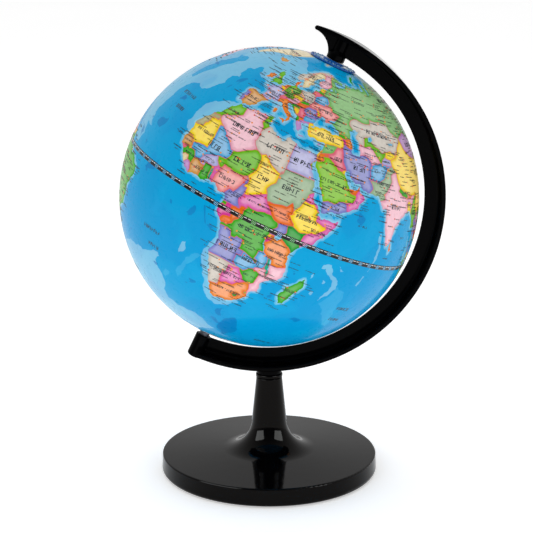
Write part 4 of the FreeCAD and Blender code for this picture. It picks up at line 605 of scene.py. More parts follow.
def stepped(outline, step):
    """The closed outline with each side divided evenly, so that no side is longer than step."""
    ahead = np.roll(outline, -1, 0)
    counts = np.maximum(1, np.ceil(np.hypot(*(ahead - outline).T) / step)).astype(int)
    start = np.repeat(outline, counts, 0)
    side = np.repeat(ahead - outline, counts, 0)
    order = np.arange(counts.sum()) - np.repeat(np.cumsum(counts) - counts, counts)
    return start + side * (order / np.repeat(counts, counts))[:, None]


def outward(lon, lat):
    """Unit vector from the middle of the ball: (cos lat sin a, -cos lat cos a, sin lat), a = lon - facing."""
    a, b = np.radians(lon - FACING), np.radians(lat)
    return np.stack([np.cos(b) * np.sin(a), -np.cos(b) * np.cos(a), np.sin(b)], -1)


def leaned(points):
    """Points in mm on upright poles, turned about Y by the tilt and lifted to the ball's place, in metres."""
    x, y, z = np.moveaxis(points, -1, 0)
    c, s = math.cos(TILT), math.sin(TILT)
    return np.stack([x * c + z * s, y, z * c - x * s], -1) * MM + np.array(CENTRE)


def turned(vectors):
    """Directions on upright poles, turned about Y by the tilt."""
    return (leaned(vectors) - np.array(CENTRE)) / MM


def skin_at(lon, lat, radius):
    """The skin at that radius: a sphere whose two caps are cut to the flat seats at the poles."""
    p = outward(lon, lat) * radius
    sunk = BALL_R - radius
    p[..., 2] = np.clip(p[..., 2], sunk - SOUTH_FLAT, NORTH_FLAT - sunk)
    return p


def inside(outline, points):
    """Even-odd rule: true where a line to the east crosses the outline an odd number of times."""
    found = np.zeros(len(points), bool)
    near = np.all((points >= outline.min(0)) & (points <= outline.max(0)), 1)
    x, y = points[near].T[:, :, None]
    ax, ay = outline.T
    bx, by = np.roll(outline, -1, 0).T
    rise = np.where(by == ay, 1e-12, by - ay)
    crosses = ((ay > y) != (by > y)) & (x < ax + (y - ay) * (bx - ax) / rise)
    found[near] = crosses.sum(1) % 2 == 1
    return found


def reach(points, heads, tails):
    """Distance in mm from each point to the nearest of the segments, up to FADE.

    A point's foot on a segment is its projection, held between the ends. The work goes band by
    band up the pole axis, with only the segments near each band.
    """
    out = np.full(len(points), FADE)
    mid = (heads[:, 2] + tails[:, 2]) / 2
    band = 4.0
    for low in np.arange(-BALL_R, BALL_R, band):
        mine = np.flatnonzero((points[:, 2] >= low) & (points[:, 2] < low + band))
        near = (mid > low - FADE - band) & (mid < low + FADE + 2 * band)
        if not len(mine) or not near.any():
            continue
        a, d = heads[near], (tails - heads)[near]
        gap = points[mine][:, None, :] - a[None]
        share = np.clip((gap * d).sum(-1) / np.maximum((d * d).sum(-1), 1e-12), 0, 1)
        foot = gap - share[..., None] * d
        out[mine] = np.minimum(out[mine], np.sqrt((foot * foot).sum(-1)).min(1))
    return out


# ---- putting meshes together -----------------------------------------------------
def make_piece(name, points, faces, body, material, normals=None, smooth=True):
    """A mesh object from an array of points in metres and a list of faces, riding on a body."""
    mesh = bpy.data.meshes.new(name)
    mesh.from_pydata(points.tolist(), [], [list(f) for f in faces])
    mesh.polygons.foreach_set("use_smooth", np.full(len(mesh.polygons), smooth))
    mesh.update()
    if normals is not None:
        mesh.normals_split_custom_set(normals.tolist())
    piece = bpy.data.objects.new(name, mesh)
    bpy.context.scene.collection.objects.link(piece)
    mesh.materials.append(material)
    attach(piece, body)
    return piece


def point_values(mesh, name, values):
    """A number for each vertex, for a material to read."""
    mesh.attributes.new(name, "FLOAT", "POINT").data.foreach_set("value", values.astype(np.float32))


def face_inks(mesh, name, inks):
    """A colour for each face, given to each of its corners, so that two inks meet on a crisp line."""
    totals = np.zeros(len(mesh.polygons), int)
    mesh.polygons.foreach_get("loop_total", totals)
    layer = mesh.color_attributes.new(name, "FLOAT_COLOR", "CORNER")
    layer.data.foreach_set("color", np.repeat(inks, totals, 0).astype(np.float32).ravel())


# ---- the printed map ---------------------------------------------------------------
def land_at(points):
    """For each longitude and latitude, the number of the region whose ink it has, and 0 for the sea.

    Coasts are laid first, in their home inks. Countries follow in printing order, on the shared
    lands only. Lakes come last. What the countries leave of the old continents goes to the nearest one.
    """
    region = np.zeros(len(points), int)
    shared = np.zeros(len(points), bool)
    unclaimed = np.zeros(len(points), bool)
    for n, (name, text) in enumerate(COASTS.items()):
        held = inside(ragged(numbers(text), COAST_SWAY), points)
        region[held] = n + 1
        shared |= held & (name in SHARED_LANDS)
        unclaimed |= held & (name in OLD_CONTINENTS)
    outlines = [ragged(numbers(text), BORDER_SWAY) for _, _, text in COUNTRIES]
    for n, outline in enumerate(outlines):
        held = inside(outline, points) & shared
        region[held] = len(COASTS) + n + 1
        unclaimed &= ~held
    left = np.flatnonzero(unclaimed)
    marks = [stepped(outline, BORDER_STEP) for outline in outlines]
    owner = np.repeat(np.arange(len(marks)), [len(m) for m in marks])
    marks = outward(*np.concatenate(marks).T)
    nearest = (outward(*points[left].T) @ marks.T).argmax(1)
    region[left] = len(COASTS) + owner[nearest] + 1
    for text in LAKES.values():
        region[inside(ragged(numbers(text), COAST_SWAY), points)] = 0
    return region


def seabed_at(points):
    """The tone of the sea floor at each longitude and latitude: the last patch that covers it."""
    tone = np.zeros(len(points), int)
    for shade, text in SEABED:
        tone[inside(ragged(numbers(text), COAST_SWAY), points)] = shade
    return tone


def inks_at(points, region):
    """The printed colour at each longitude and latitude. Its alpha is 1 on land and 0 at sea."""
    inks = REGION_INKS[region]
    at_sea = region == 0
    inks[at_sea] = SEA_TONES[seabed_at(points[at_sea])]
    return inks


def map_lines(top):
    """Every outline drawn on the map, bent and divided, and kept off the holes at the poles."""
    shores = (*COASTS.values(), *LAKES.values(), *(text for _, text in SEABED))
    lines = [ragged(numbers(text), COAST_SWAY) for text in shores]
    lines += [ragged(numbers(text), BORDER_SWAY) for _, _, text in COUNTRIES]
    lines = [stepped(line, OUTLINE_STEP) for line in lines]
    for line in lines:
        line[:, 1] = np.clip(line[:, 1], -top, top)
    return lines


def bridge_middles(net):
    """Middles of the sides that run between two points of the drawn lines without being drawn."""
    spots, ends = np.array([tuple(v) for v in net[0]]), np.array(net[1])
    drawn = np.array([len(origin) > 0 for origin in net[4]])
    on_line = np.zeros(len(spots), bool)
    on_line[ends[drawn].ravel()] = True
    bridges = ends[~drawn & on_line[ends].all(1)]
    middles = spots[bridges].mean(1)
    wide = np.hypot(*(spots[bridges[:, 0]] - spots[bridges[:, 1]]).T) > 0.12
    return middles[wide & (np.abs(middles[:, 0]) < SEAM)]


def map_net():
    """The map's flat net of triangles in longitude and latitude, which follows every outline.

    Every triangle needs a point off the outlines, so the net is made three times, and the bridges'
    middles join its points after the first and the second. Last, the points of its east edge become
    those of its west edge.
    """
    top = math.degrees(math.acos(SKIN_HOLE_R / BALL_R))
    seats = (math.degrees(math.asin(NORTH_FLAT / BALL_R)), -math.degrees(math.asin(SOUTH_FLAT / BALL_R)))
    points, sides, total = [], [], 0
    for line in map_lines(top):
        here = total + np.arange(len(line))
        points.append(line)
        sides.append(np.stack([here, np.roll(here, -1)], 1))
        total += len(line)
    for lat in np.concatenate([np.arange(-86, 87) * FINE, seats, (-top, top)]):
        count = int(360 / FINE * max(math.cos(math.radians(lat)), 0.12))
        points.append(np.stack([np.linspace(-180, 180, count + 1), np.full(count + 1, lat)], 1))
        if lat in seats or lat == 0:
            here = total + np.arange(count + 1)
            sides.append(np.stack([here[:-1], here[1:]], 1))
        total += count + 1
    points, sides = np.concatenate(points), np.concatenate(sides).tolist()
    for _ in range(2):
        net = delaunay_2d_cdt([Vector(p) for p in points.tolist()], sides, [], 0, 1e-4, True)
        points = np.concatenate([points, bridge_middles(net)])
    net = delaunay_2d_cdt([Vector(p) for p in points.tolist()], sides, [], 0, 1e-4, True)
    spots, faces = np.array([tuple(v) for v in net[0]]), np.array(net[2])
    east = np.abs(spots[:, 0] - 180) < 1e-3
    west = np.flatnonzero(np.abs(spots[:, 0] + 180) < 1e-3)
    match = np.abs(spots[east][:, None, 1] - spots[None, west, 1]).argmin(1)
    merged = np.arange(len(spots))
    merged[east] = west[match]
    joined = merged[faces]
    whole = (joined != np.roll(joined, 1, 1)).all(1)
    return spots, faces[whole], joined[whole]


def map_skins():
    """What the skins and the lettering need: the net's points and faces, each face's middle, region and
    ink, and each point's distance to the nearest coast and to the nearest border between countries."""
    spots, faces, joined = map_net()
    middles = spots[faces].mean(1)
    region = land_at(middles)
    ends = np.concatenate([joined[:, [0, 1]], joined[:, [1, 2]], joined[:, [2, 0]]])
    owner = np.tile(np.arange(len(faces)), 3)
    key = ends.min(1) * len(spots) + ends.max(1)
    order = np.argsort(key, kind="stable")
    same = key[order[1:]] == key[order[:-1]]
    one, two = region[owner[order[:-1][same]]], region[owner[order[1:][same]]]
    side = ends[order[:-1][same]]
    place = outward(*spots.T) * BALL_R
    coast = side[(one != two) & ((one == 0) | (two == 0))]
    border = side[(one != two) & (one > 0) & (two > 0)]
    shore = reach(place, place[coast[:, 0]], place[coast[:, 1]])
    frontier = reach(place, place[border[:, 0]], place[border[:, 1]])
    return {"spots": spots, "faces": joined, "middles": middles, "region": region,
            "inks": inks_at(middles, region), "shore": shore, "border": frontier}


def half_skin(name, node, north, chart, material):
    """One half of the printed skin: the net laid on the ball's outside and again on its inside, with
    walls between them round the equator and the hole at the pole."""
    mine = (chart["middles"][:, 1] > 0) == north
    faces, lats = chart["faces"][mine], chart["middles"][mine][:, 1]
    used, faces = np.unique(faces, return_inverse=True)
    faces = faces.reshape(-1, 3)
    n = len(used)
    lon, lat = chart["spots"][used].T
    points = np.concatenate([skin_at(lon, lat, BALL_R), skin_at(lon, lat, BALL_R - SKIN_T)])
    ends = np.concatenate([faces[:, [0, 1]], faces[:, [1, 2]], faces[:, [2, 0]]])
    rim = ends[~np.isin(ends[:, 0] * n + ends[:, 1], ends[:, 1] * n + ends[:, 0])]
    walls = np.stack([rim[:, 1], rim[:, 0], rim[:, 0] + n, rim[:, 1] + n], 1)
    on_flat = (lats > math.degrees(math.asin(NORTH_FLAT / BALL_R))) | (
        lats < -math.degrees(math.asin(SOUTH_FLAT / BALL_R)))
    up = np.array([0.0, 0.0, 1.0 if north else -1.0])
    round_normals = outward(lon, lat)[faces]
    outer = np.where(on_flat[:, None, None], up, round_normals)
    wall_out = np.cross(points[walls[:, 1]] - points[walls[:, 0]], points[walls[:, 2]] - points[walls[:, 0]])
    wall_out /= np.linalg.norm(wall_out, axis=1)[:, None]
    normals = np.concatenate([outer.reshape(-1, 3), -outer[:, ::-1].reshape(-1, 3),
                              np.repeat(wall_out, 4, 0)])
    all_faces = [*faces.tolist(), *(faces[:, ::-1] + n).tolist(), *walls.tolist()]
    piece = make_piece(name, leaned(points), all_faces, "globe", material, turned(normals))
    inks = chart["inks"][mine]
    inks = np.concatenate([inks, inks, np.tile(SEA_TONES[0], (len(walls), 1))])
    face_inks(piece.data, "ink", inks)
    for label in ("shore", "border"):
        point_values(piece.data, label + "_mm", np.tile(chart[label][used], 2))
    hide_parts(node)
    return piece


def stroke_boxes(lon, lat, east, north, half_long, half_thick, turn):
    """Thin closed tiles of printed ink. Each lies at (east, north) mm from its own longitude and
    latitude, half_long by half_thick mm, turned by an angle from east, and stands a little proud."""
    sx, sy = np.array([-1, 1, 1, -1]), np.array([-1, -1, 1, 1])
    c, s = np.cos(turn)[:, None], np.sin(turn)[:, None]
    u = east[:, None] + sx * half_long[:, None] * c - sy * half_thick[:, None] * s
    v = north[:, None] + sx * half_long[:, None] * s + sy * half_thick[:, None] * c
    corner_lat = lat[:, None] + v / DEGREE
    corner_lon = lon[:, None] + u / DEGREE / np.cos(np.radians(lat))[:, None]
    out = outward(corner_lon, corner_lat)
    points = np.concatenate([out * (BALL_R - PRINT_SUNK), out * (BALL_R + PRINT_PROUD)], 1)
    box = np.array([[3, 2, 1, 0], [4, 5, 6, 7], [0, 1, 5, 4], [1, 2, 6, 5], [2, 3, 7, 6], [3, 0, 4, 7]])
    faces = box[None] + 8 * np.arange(len(lon))[:, None, None]
    return points.reshape(-1, 3), faces.reshape(-1, 4)


def lettering(rng, lon, lat, count, height, table, weight):
    """Rows of made-up glyphs along a parallel. Each has a few bars of the table in a narrow cell, and
    none is a real letter."""
    cell = np.repeat(np.arange(len(lon)), count)
    place = np.arange(count.sum()) - np.repeat(np.cumsum(count) - count, count)
    tall = height[cell]
    start = (place - (count[cell] - 1) / 2) * LETTER_PITCH * tall
    bars = []
    for dx, dy, size, angle, chance in table:
        take = rng.random(len(cell)) < chance
        bars.append(np.stack([lon[cell], lat[cell], start + dx * tall, dy * tall, size * tall,
                              weight * tall, np.full(len(cell), math.radians(angle))], 1)[take])
    return np.concatenate(bars)


def large_names(chart, area):
    """Longitude, latitude, letters and height of each large name: one in the middle of each country
    that has room for it, sized by the country's area in mm², then the oceans'."""
    heart = outward(*chart["middles"].T)
    rows = []
    for n, name in enumerate((*COASTS, *(name for name, _, _ in COUNTRIES)), 1):
        held = chart["region"] == n
        size = area[held].sum()
        if size < 30 or name in OLD_CONTINENTS:
            continue
        x, y, z = (heart[held] * area[held][:, None]).sum(0)
        lon = math.degrees(math.atan2(x, -y)) + FACING
        lat = math.degrees(math.atan2(z, math.hypot(x, y)))
        if abs(lat) > 76:
            continue
        letters = min(len(name), 12)
        fitting = min(0.17 * size ** 0.5, 1.05 * size ** 0.5 / letters)
        rows.append((lon, lat, letters, min(max(fitting, 0.75), 2.8)))
    return np.array([*rows, *OCEAN_NAMES]).T


def town_words(rng, chart, area, towns):
    """Places of the towns, and longitude, latitude, letters and height of the small words: one beside
    each town, and half as many afloat near the shores. Towns are likelier where the land is crowded."""
    region, middles = chart["region"], chart["middles"]
    busy = 1 + 2.2 * np.exp(-(((middles[:, 0] - 12) / 22) ** 2 + ((middles[:, 1] - 49) / 11) ** 2))
    likely = area * busy * (region > 0) * (np.abs(middles[:, 1]) < 74)
    lon, lat = middles[rng.choice(len(region), towns, p=likely / likely.sum())].T
    count = rng.integers(7, 16, towns)
    height = rng.uniform(0.62, 0.80, towns)
    aside = rng.choice([-1, 1], towns) * (LETTER_PITCH * height * count / 2 + 0.75)
    shift = aside / DEGREE / np.cos(np.radians(lat))
    coastal = (region == 0) * (chart["shore"][chart["faces"]].mean(1) < 6)
    likely = area * coastal * (np.abs(middles[:, 1]) < 72)
    afloat = rng.choice(len(region), towns // 2, p=likely / likely.sum())
    ashore_words = np.stack([lon + shift, lat, count, height])
    afloat_words = np.stack([*middles[afloat].T, rng.integers(5, 14, len(afloat)),
                             rng.uniform(0.6, 0.75, len(afloat))])
    return lon, lat, np.concatenate([ashore_words, afloat_words], 1)


def names_and_towns(rng, chart, towns):
    """Rows for stroke_boxes and the colour of each: large names, small words, and small orange or red
    squares for half the towns."""
    a, b, c = (outward(*chart["spots"][chart["faces"][:, k]].T) for k in range(3))
    area = np.linalg.norm(np.cross(b - a, c - a), axis=1) / 2 * BALL_R ** 2
    lon, lat, count, height = large_names(chart, area)
    names = lettering(rng, lon, lat, count.astype(int), height, GLYPH_BARS, NAME_WEIGHT)
    lon, lat, (*where, count, height) = town_words(rng, chart, area, towns)
    words = lettering(rng, *where, count.astype(int), height, SMALL_BARS, WORD_WEIGHT)
    marked = towns // 2
    red = rng.random(marked) < 0.3
    half, still, turn = (np.full(marked, value) for value in (TOWN_MARK, 0.0, math.pi / 4))
    squares = np.stack([lon[:marked], lat[:marked], still, still, half, half, turn], 1)
    inks = (np.tile(solid("1c2530"), (len(names), 1)), np.tile(solid("0b0d12"), (len(words), 1)),
            np.where(red[:, None], solid("e5412c"), solid("ff9a2e")))
    return np.concatenate([names, words, squares]), np.concatenate(inks)


def tape_band():
    """Closed band over the equator: its section is a low crowned strip 3 mm wide, carried once round the
    pole axis. U runs once round the ball and V runs from its south edge to its north edge. Every face
    also has the colour of the map under it, which shows where the film is clear."""
    around, across = 720, 8
    share = np.linspace(0, 1, across + 1)
    height = (share - 0.5) * TAPE_W
    lift = TAPE_T * np.clip(np.minimum(share, 1 - share) * across, 0, 1)
    outer = np.stack([np.sqrt(BALL_R ** 2 - height ** 2) + lift, height], 1)
    inner = outer[::-1] - [[SKIN_T, 0]]
    section = np.concatenate([outer, inner])
    k = len(section)
    turn = np.radians(np.arange(around) * 360 / around)[:, None]
    points = np.stack([section[:, 0] * np.sin(turn), -section[:, 0] * np.cos(turn),
                       np.broadcast_to(section[:, 1], (around, k))], -1)
    i, j = np.meshgrid(np.arange(around), np.arange(k), indexing="ij")
    here, after = i * k + j, (i + 1) % around * k + j
    up = (j + 1) % k
    faces = np.stack([here, after, (i + 1) % around * k + up, i * k + up], -1).reshape(-1, 4)
    v = np.concatenate([share, share[::-1]])
    u0, u1 = i / around, (i + 1) / around
    uv = np.stack([np.stack([u0, v[j]], -1), np.stack([u1, v[j]], -1),
                   np.stack([u1, v[up]], -1), np.stack([u0, v[up]], -1)], 2)
    lon = (FACING + (i + 0.5) * 360 / around + 180) % 360 - 180
    lat = np.degrees((v[j] + v[up] - 1) / 2 * TAPE_W / BALL_R)
    under = np.stack([lon.ravel(), lat.ravel()], 1)
    return points.reshape(-1, 3), faces, uv.reshape(-1, 2), inks_at(under, land_at(under))


# ---- materials ------------------------------------------------------------------------
class Recipe:
    """One material, built a node at a time round its Principled shader."""

    def __init__(self, name, **sockets):
        self.material = bpy.data.materials.new(name)
        self.material.use_nodes = True
        self.tree = self.material.node_tree
        self.shader = self.tree.nodes["Principled BSDF"]
        self.place = self.node("TexCoord").outputs["Object"]
        for label, value in sockets.items():
            self.feed(self.shader.inputs[label.replace("_", " ")], value)

    def feed(self, socket, value):
        """Links an output into the socket, or sets its value."""
        if isinstance(value, bpy.types.NodeSocket):
            self.tree.links.new(value, socket)
        elif hasattr(value, "__len__") and len(value) == 3 and socket.type == "RGBA":
            socket.default_value = (*value, 1.0)
        else:
            socket.default_value = value

    def node(self, kind, inputs=(), **settings):
        """A shader node with its settings and its inputs, by name or by number."""
        made = self.tree.nodes.new("ShaderNode" + kind)
        for label, value in settings.items():
            setattr(made, label, value)
        for label, value in dict(inputs).items():
            self.feed(made.inputs[label], value)
        return made

    def noise(self, scale, detail=2.0, roughness=0.5, distortion=0.0, at=None):
        return self.node("TexNoise", {"Vector": at or self.place, "Scale": scale, "Detail": detail,
                                      "Roughness": roughness, "Distortion": distortion}).outputs["Fac"]

    def math(self, operation, a, b=0.0, c=0.0):
        return self.node("Math", {0: a, 1: b, 2: c}, operation=operation).outputs[0]

    def ramp(self, value, low, high, start=0.0, end=1.0):
        """A smooth step of the value, from start at low to end at high."""
        made = self.node("MapRange", {"Value": value, "From Min": low, "From Max": high,
                                      "To Min": start, "To Max": end}, interpolation_type="SMOOTHSTEP")
        return made.outputs[0]

    def mix(self, factor, a, b, blend="MIX"):
        return self.node("Mix", {0: factor, 6: a, 7: b}, data_type="RGBA", blend_type=blend).outputs[2]

    def attribute(self, name, output="Fac"):
        return self.node("Attribute", attribute_name=name).outputs[output]

    def bump(self, height, strength, distance, socket="Normal"):
        """Small relief on the surface, distance in metres."""
        made = self.node("Bump", {"Height": height, "Strength": strength, "Distance": distance})
        self.feed(self.shader.inputs[socket], made.outputs["Normal"])

    def use(self, socket, value):
        self.feed(self.shader.inputs[socket], value)
        return self


def sea_print(m, ink, shore, fray, settings):
    """The sea: the floor's tone under soft broad patches, faint wisps, crisp deeps away from land, and a
    pale shelf with a frayed edge along every shore."""
    tinted = m.mix(1.0, ink, (*settings.sea_tint, 1), "MULTIPLY")
    shaded = m.mix(1.0, tinted, (0.90, 0.92, 0.97, 1), "MULTIPLY")
    sea = m.mix(m.ramp(m.noise(24.0, 2.0), 0.47, 0.53), shaded, tinted)
    sea = m.mix(m.ramp(m.noise(46.0, 4.0, 0.55, 0.6), 0.60, 0.62, 0.0, 0.16), sea, solid("24b4ea"))
    deeps = m.math("MULTIPLY", m.ramp(m.noise(58.0, 3.0, 0.5, 0.9), 0.67, 0.683), m.ramp(shore, 3.0, 4.0))
    sea = m.mix(m.math("MULTIPLY", deeps, 0.7), sea, solid("0a7cc2"))
    reach_out = m.math("ADD", shore, fray)
    sea = m.mix(m.ramp(reach_out, 1.3, 1.9, 0.8, 0.0), sea, (*settings.shelf_colour, 1))
    return m.mix(m.ramp(reach_out, 0.0, 0.9, 0.4, 0.0), sea, solid("bfe6f4"))


def country_print(m, ink, shore, border, fray):
    """A country: deeper in colour along its edge and paler inside, faintly shaded like hills, with a
    thin warm line where it meets another."""
    inland = m.math("MINIMUM", border, m.math("ADD", shore, 0.15))
    pale = m.node("HueSaturation", {"Saturation": 0.94, "Value": 1.15, "Color": ink}).outputs[0]
    pale = m.mix(0.08, pale, solid("fff6e6"))
    strong = m.node("HueSaturation", {"Saturation": 1.22, "Value": 0.96, "Color": ink}).outputs[0]
    land = m.mix(m.ramp(m.math("ADD", inland, m.math("MULTIPLY", fray, 0.25)), 0.3, 2.9), strong, pale)
    land = m.mix(m.ramp(m.noise(420.0, 3.0, 0.6), 0.35, 0.75, 0.0, 0.13), land, solid("6b5b45"))
    return m.mix(m.ramp(border, 0.20, 0.36, 0.62, 0.0), land, solid("e2576a"))


def map_print(name, settings):
    """Glossy lacquered print: countries where the ink's alpha is 1, sea elsewhere, and a fine blue line
    on the coasts. The distances to coasts and borders are in mm."""
    m = Recipe(name, Roughness=0.3, Coat_Weight=settings.coat, Coat_Roughness=0.035, Coat_IOR=1.33,
               Specular_IOR_Level=0.04)
    ink, on_land = m.attribute("ink", "Color"), m.attribute("ink", "Alpha")
    shore, border = m.attribute("shore_mm"), m.attribute("border_mm")
    fray = m.math("MULTIPLY_ADD", m.noise(150.0, 3.0), 4.4, -2.2)
    colour = m.mix(m.math("GREATER_THAN", on_land, 0.5), sea_print(m, ink, shore, fray, settings),
                   country_print(m, ink, shore, border, fray))
    m.use("Base Color", m.mix(m.ramp(shore, 0.07, 0.16, 0.35, 0.0), colour, solid("47708f")))
    m.use("Roughness", m.ramp(m.noise(300.0, 2.0), 0.3, 0.7, 0.26, 0.36))
    m.bump(m.noise(90.0, 2.0), 0.12, 0.0004, "Coat Normal")
    return m.material


def printed_ink(name):
    """Flat printing ink in the piece's own colours, a little uneven in density."""
    m = Recipe(name, Coat_Weight=0.3, Coat_Roughness=0.06, Specular_IOR_Level=0.15)
    m.use("Base Color", m.mix(m.ramp(m.noise(900.0), 0.4, 0.8, 0.0, 0.25), m.attribute("ink", "Color"),
                              solid("6f7784")))
    return m.use("Roughness", m.ramp(m.noise(500.0), 0.3, 0.7, 0.32, 0.45)).material


def tape_print(name):
    """Equator scale, read from the band's own UV: black blocks with two white dashes in their upper half,
    each followed by a clear window with slanted black and white bars between black edges."""
    m = Recipe(name, Coat_Weight=0.3, Coat_Roughness=0.05, Specular_IOR_Level=0.2)
    split = m.node("SeparateXYZ", {0: m.node("UVMap", uv_map="Band").outputs[0]})
    u, v = split.outputs[0], split.outputs[1]
    step = m.math("FRACT", m.math("MULTIPLY", u, TAPE_MARKS))
    block = m.math("LESS_THAN", step, 0.64)
    dash = m.math("FRACT", m.math("MULTIPLY", step, 3.2))
    dashes = m.math("MULTIPLY", m.math("COMPARE", dash, 0.5, 0.36), m.math("COMPARE", v, 0.70, 0.07))
    slant = m.math("FRACT", m.math("MULTIPLY_ADD", step, 9.0, m.math("MULTIPLY", v, -1.1)))
    clear = m.math("SUBTRACT", 1.0, block)
    open_film = m.math("MULTIPLY", clear, m.math("COMPARE", v, 0.5, 0.40))
    film = m.math("MULTIPLY", open_film, m.math("LESS_THAN", slant, 0.55))
    white = m.math("MULTIPLY", open_film, m.math("LESS_THAN", slant, 0.13))
    worn = m.ramp(m.noise(700.0, 3.0), 0.3, 0.8, 0.85, 1.0)
    marks = m.math("MULTIPLY", m.math("MULTIPLY", block, dashes), worn)
    shown = m.mix(marks, solid("08090c"), solid("f2f4f2"))
    shown = m.mix(film, shown, m.attribute("under", "Color"))
    m.use("Base Color", m.mix(white, shown, solid("e8ecec")))
    return m.use("Roughness", m.ramp(m.noise(400.0), 0.3, 0.7, 0.25, 0.4)).material


def gloss_plastic(name, colour, roughness, shine, coat=0.0, tint=(1.0, 1.0, 1.0)):
    """Polished injection moulding: faint orange peel and flow marks, hairline rubs and a little fine
    dust. Shine is its specular level, and tint colours what it reflects."""
    m = Recipe(name, Coat_Weight=coat, Coat_Roughness=0.03, Specular_IOR_Level=shine, Specular_Tint=tint)
    rubs = m.noise(35.0, 6.0, 0.7, 1.5)
    m.use("Base Color", m.mix(m.ramp(m.noise(1500.0, 2.0), 0.66, 0.80, 0.0, 0.03), (*colour, 1),
                              solid("8d9097")))
    m.use("Roughness", m.math("ADD", m.ramp(rubs, 0.35, 0.75, roughness * 0.8, roughness * 1.6),
                              m.ramp(m.noise(1100.0, 3.0), 0.55, 0.8, 0.0, roughness * 0.8)))
    m.bump(m.math("ADD", m.noise(160.0, 2.0), m.math("MULTIPLY", m.noise(40.0, 2.0), 1.5)), 0.10, 0.0003)
    return m.material


def dull_plastic(name, colour, roughness, grain=900.0):
    """Moulded plastic with a spark-eroded grain and slightly uneven colour."""
    m = Recipe(name)
    m.use("Base Color", m.mix(m.ramp(m.noise(60.0, 4.0), 0.3, 0.7, 0.0, 0.25), (*colour, 1),
                              tuple(c * 0.72 for c in colour) + (1,)))
    m.use("Roughness", m.ramp(m.noise(grain, 3.0), 0.3, 0.7, roughness - 0.08, roughness + 0.1))
    m.bump(m.noise(grain, 4.0, 0.6), 0.35, 0.0002)
    return m.material


def bright_metal(name, colour, roughness, rust=0.0):
    """Machined or cast metal: fine turning streaks, dull patches and, where it is bare, a little rust."""
    m = Recipe(name, Metallic=1.0)
    streaks = m.node("TexWave", {"Vector": m.place, "Scale": 900.0, "Distortion": 2.0, "Detail": 2.0},
                     bands_direction="Z").outputs["Fac"]
    dull = m.noise(220.0, 5.0, 0.65)
    tone = m.mix(m.ramp(dull, 0.4, 0.8, 0.0, 0.5), (*colour, 1), tuple(c * 0.5 for c in colour) + (1,))
    m.use("Base Color", m.mix(m.ramp(m.noise(90.0, 6.0, 0.7), 0.55, 0.72, 0.0, rust), tone,
                              solid("7a4a2c")))
    m.use("Roughness", m.math("ADD", m.ramp(dull, 0.3, 0.8, roughness * 0.8, roughness * 1.6),
                              m.math("MULTIPLY", streaks, 0.08)))
    m.bump(m.math("ADD", m.math("MULTIPLY", streaks, 0.3), dull), 0.25, 0.0001)
    return m.material


def foam_sheet(name, colour):
    """Closed-cell foam rubber: packed round cells with darker walls, matt."""
    m = Recipe(name, Sheen_Weight=0.2)
    cells = m.node("TexVoronoi", {"Vector": m.place, "Scale": 1100.0}).outputs["Distance"]
    m.use("Base Color", m.mix(m.ramp(cells, 0.1, 0.6), (*colour, 1), tuple(c * 0.45 for c in colour) + (1,)))
    m.use("Roughness", m.ramp(m.noise(200.0), 0.3, 0.7, 0.82, 0.95))
    m.bump(cells, 0.6, 0.0003)
    return m.material


def dress(nodes, material):
    """Gives CAD nodes their finish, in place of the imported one."""
    for name in nodes:
        mesh = frame["nodes"][name].data
        mesh.materials.clear()
        mesh.materials.append(material)


# ---- settings -------------------------------------------------------------------------
def colour_setting(name, description, code):
    return bpy.props.FloatVectorProperty(name=name, description=description, default=linear(code),
                                         subtype="COLOR", size=3, min=0.0, max=1.0)


class MapSettings(bpy.types.PropertyGroup):
    """Inks and lacquer of the printed ball."""
    sea_tint: colour_setting("Sea tint", "Film of colour over the inks of the oceans", "ffffff")
    shelf_colour: colour_setting("Shelf", "Pale ink along the shores", "74c6ea")
    coat: bpy.props.FloatProperty(name="Lacquer", description="How much clear lacquer covers the print",
                                  default=0.22, min=0.0, max=1.0, subtype="FACTOR")
    towns: bpy.props.IntProperty(name="Towns", description="How many towns are named; half have a mark",
                                 default=1400, min=0, max=2000)


class DialSettings(bpy.types.PropertyGroup):
    """The hour dial round the north pole."""
    dial_colour: colour_setting("Dial", "Plastic of the hour dial", "0458a6")
    numeral_colour: colour_setting("Numerals", "Raised numerals of the dial", "9ccfea")
    numeral_size: bpy.props.FloatProperty(name="Numeral height", description="Height of the hour numerals",
                                          default=0.0030, min=0.001, max=0.004, unit="LENGTH")


class StandSettings(bpy.types.PropertyGroup):
    """Arm, pedestal and what is inside them."""
    black: colour_setting("Moulding", "Colour of the arm and pedestal", "030304")
    polish: bpy.props.FloatProperty(name="Roughness", description="Roughness of the polished mouldings",
                                    default=0.07, min=0.0, max=1.0, subtype="FACTOR")


class StudioSettings(bpy.types.PropertyGroup):
    """Floor, lamps and camera."""
    floor_colour: colour_setting("Floor", "Colour of the floor", "f7f7f7")
    lens: bpy.props.FloatProperty(name="Lens", description="Focal length of the camera in millimetres",
                                  default=107.7, min=20.0, max=300.0)
    camera_place: bpy.props.FloatVectorProperty(name="Camera", description="Where the camera stands", size=3,
                                                default=(0.0018, -1.047, 0.4043), unit="LENGTH")
    camera_pitch: bpy.props.FloatProperty(name="Pitch", description="How far the camera looks down",
                                          default=math.radians(13.93), subtype="ANGLE")
    camera_yaw: bpy.props.FloatProperty(name="Yaw", description="How far the camera turns to the right",
                                        default=math.radians(-0.2), subtype="ANGLE")


# ---- studio ---------------------------------------------------------------------------
def set_camera(scene, s):
    """A camera as the settings say, looking along +Y from the front."""
    camera = bpy.data.objects.new("camera", bpy.data.cameras.new("camera"))
    camera.data.lens = s.lens
    camera.data.clip_end = 50.0
    camera.location = s.camera_place
    camera.rotation_euler = (math.pi / 2 - s.camera_pitch, 0.0, -s.camera_yaw)
    scene.collection.objects.link(camera)
    scene.camera = camera


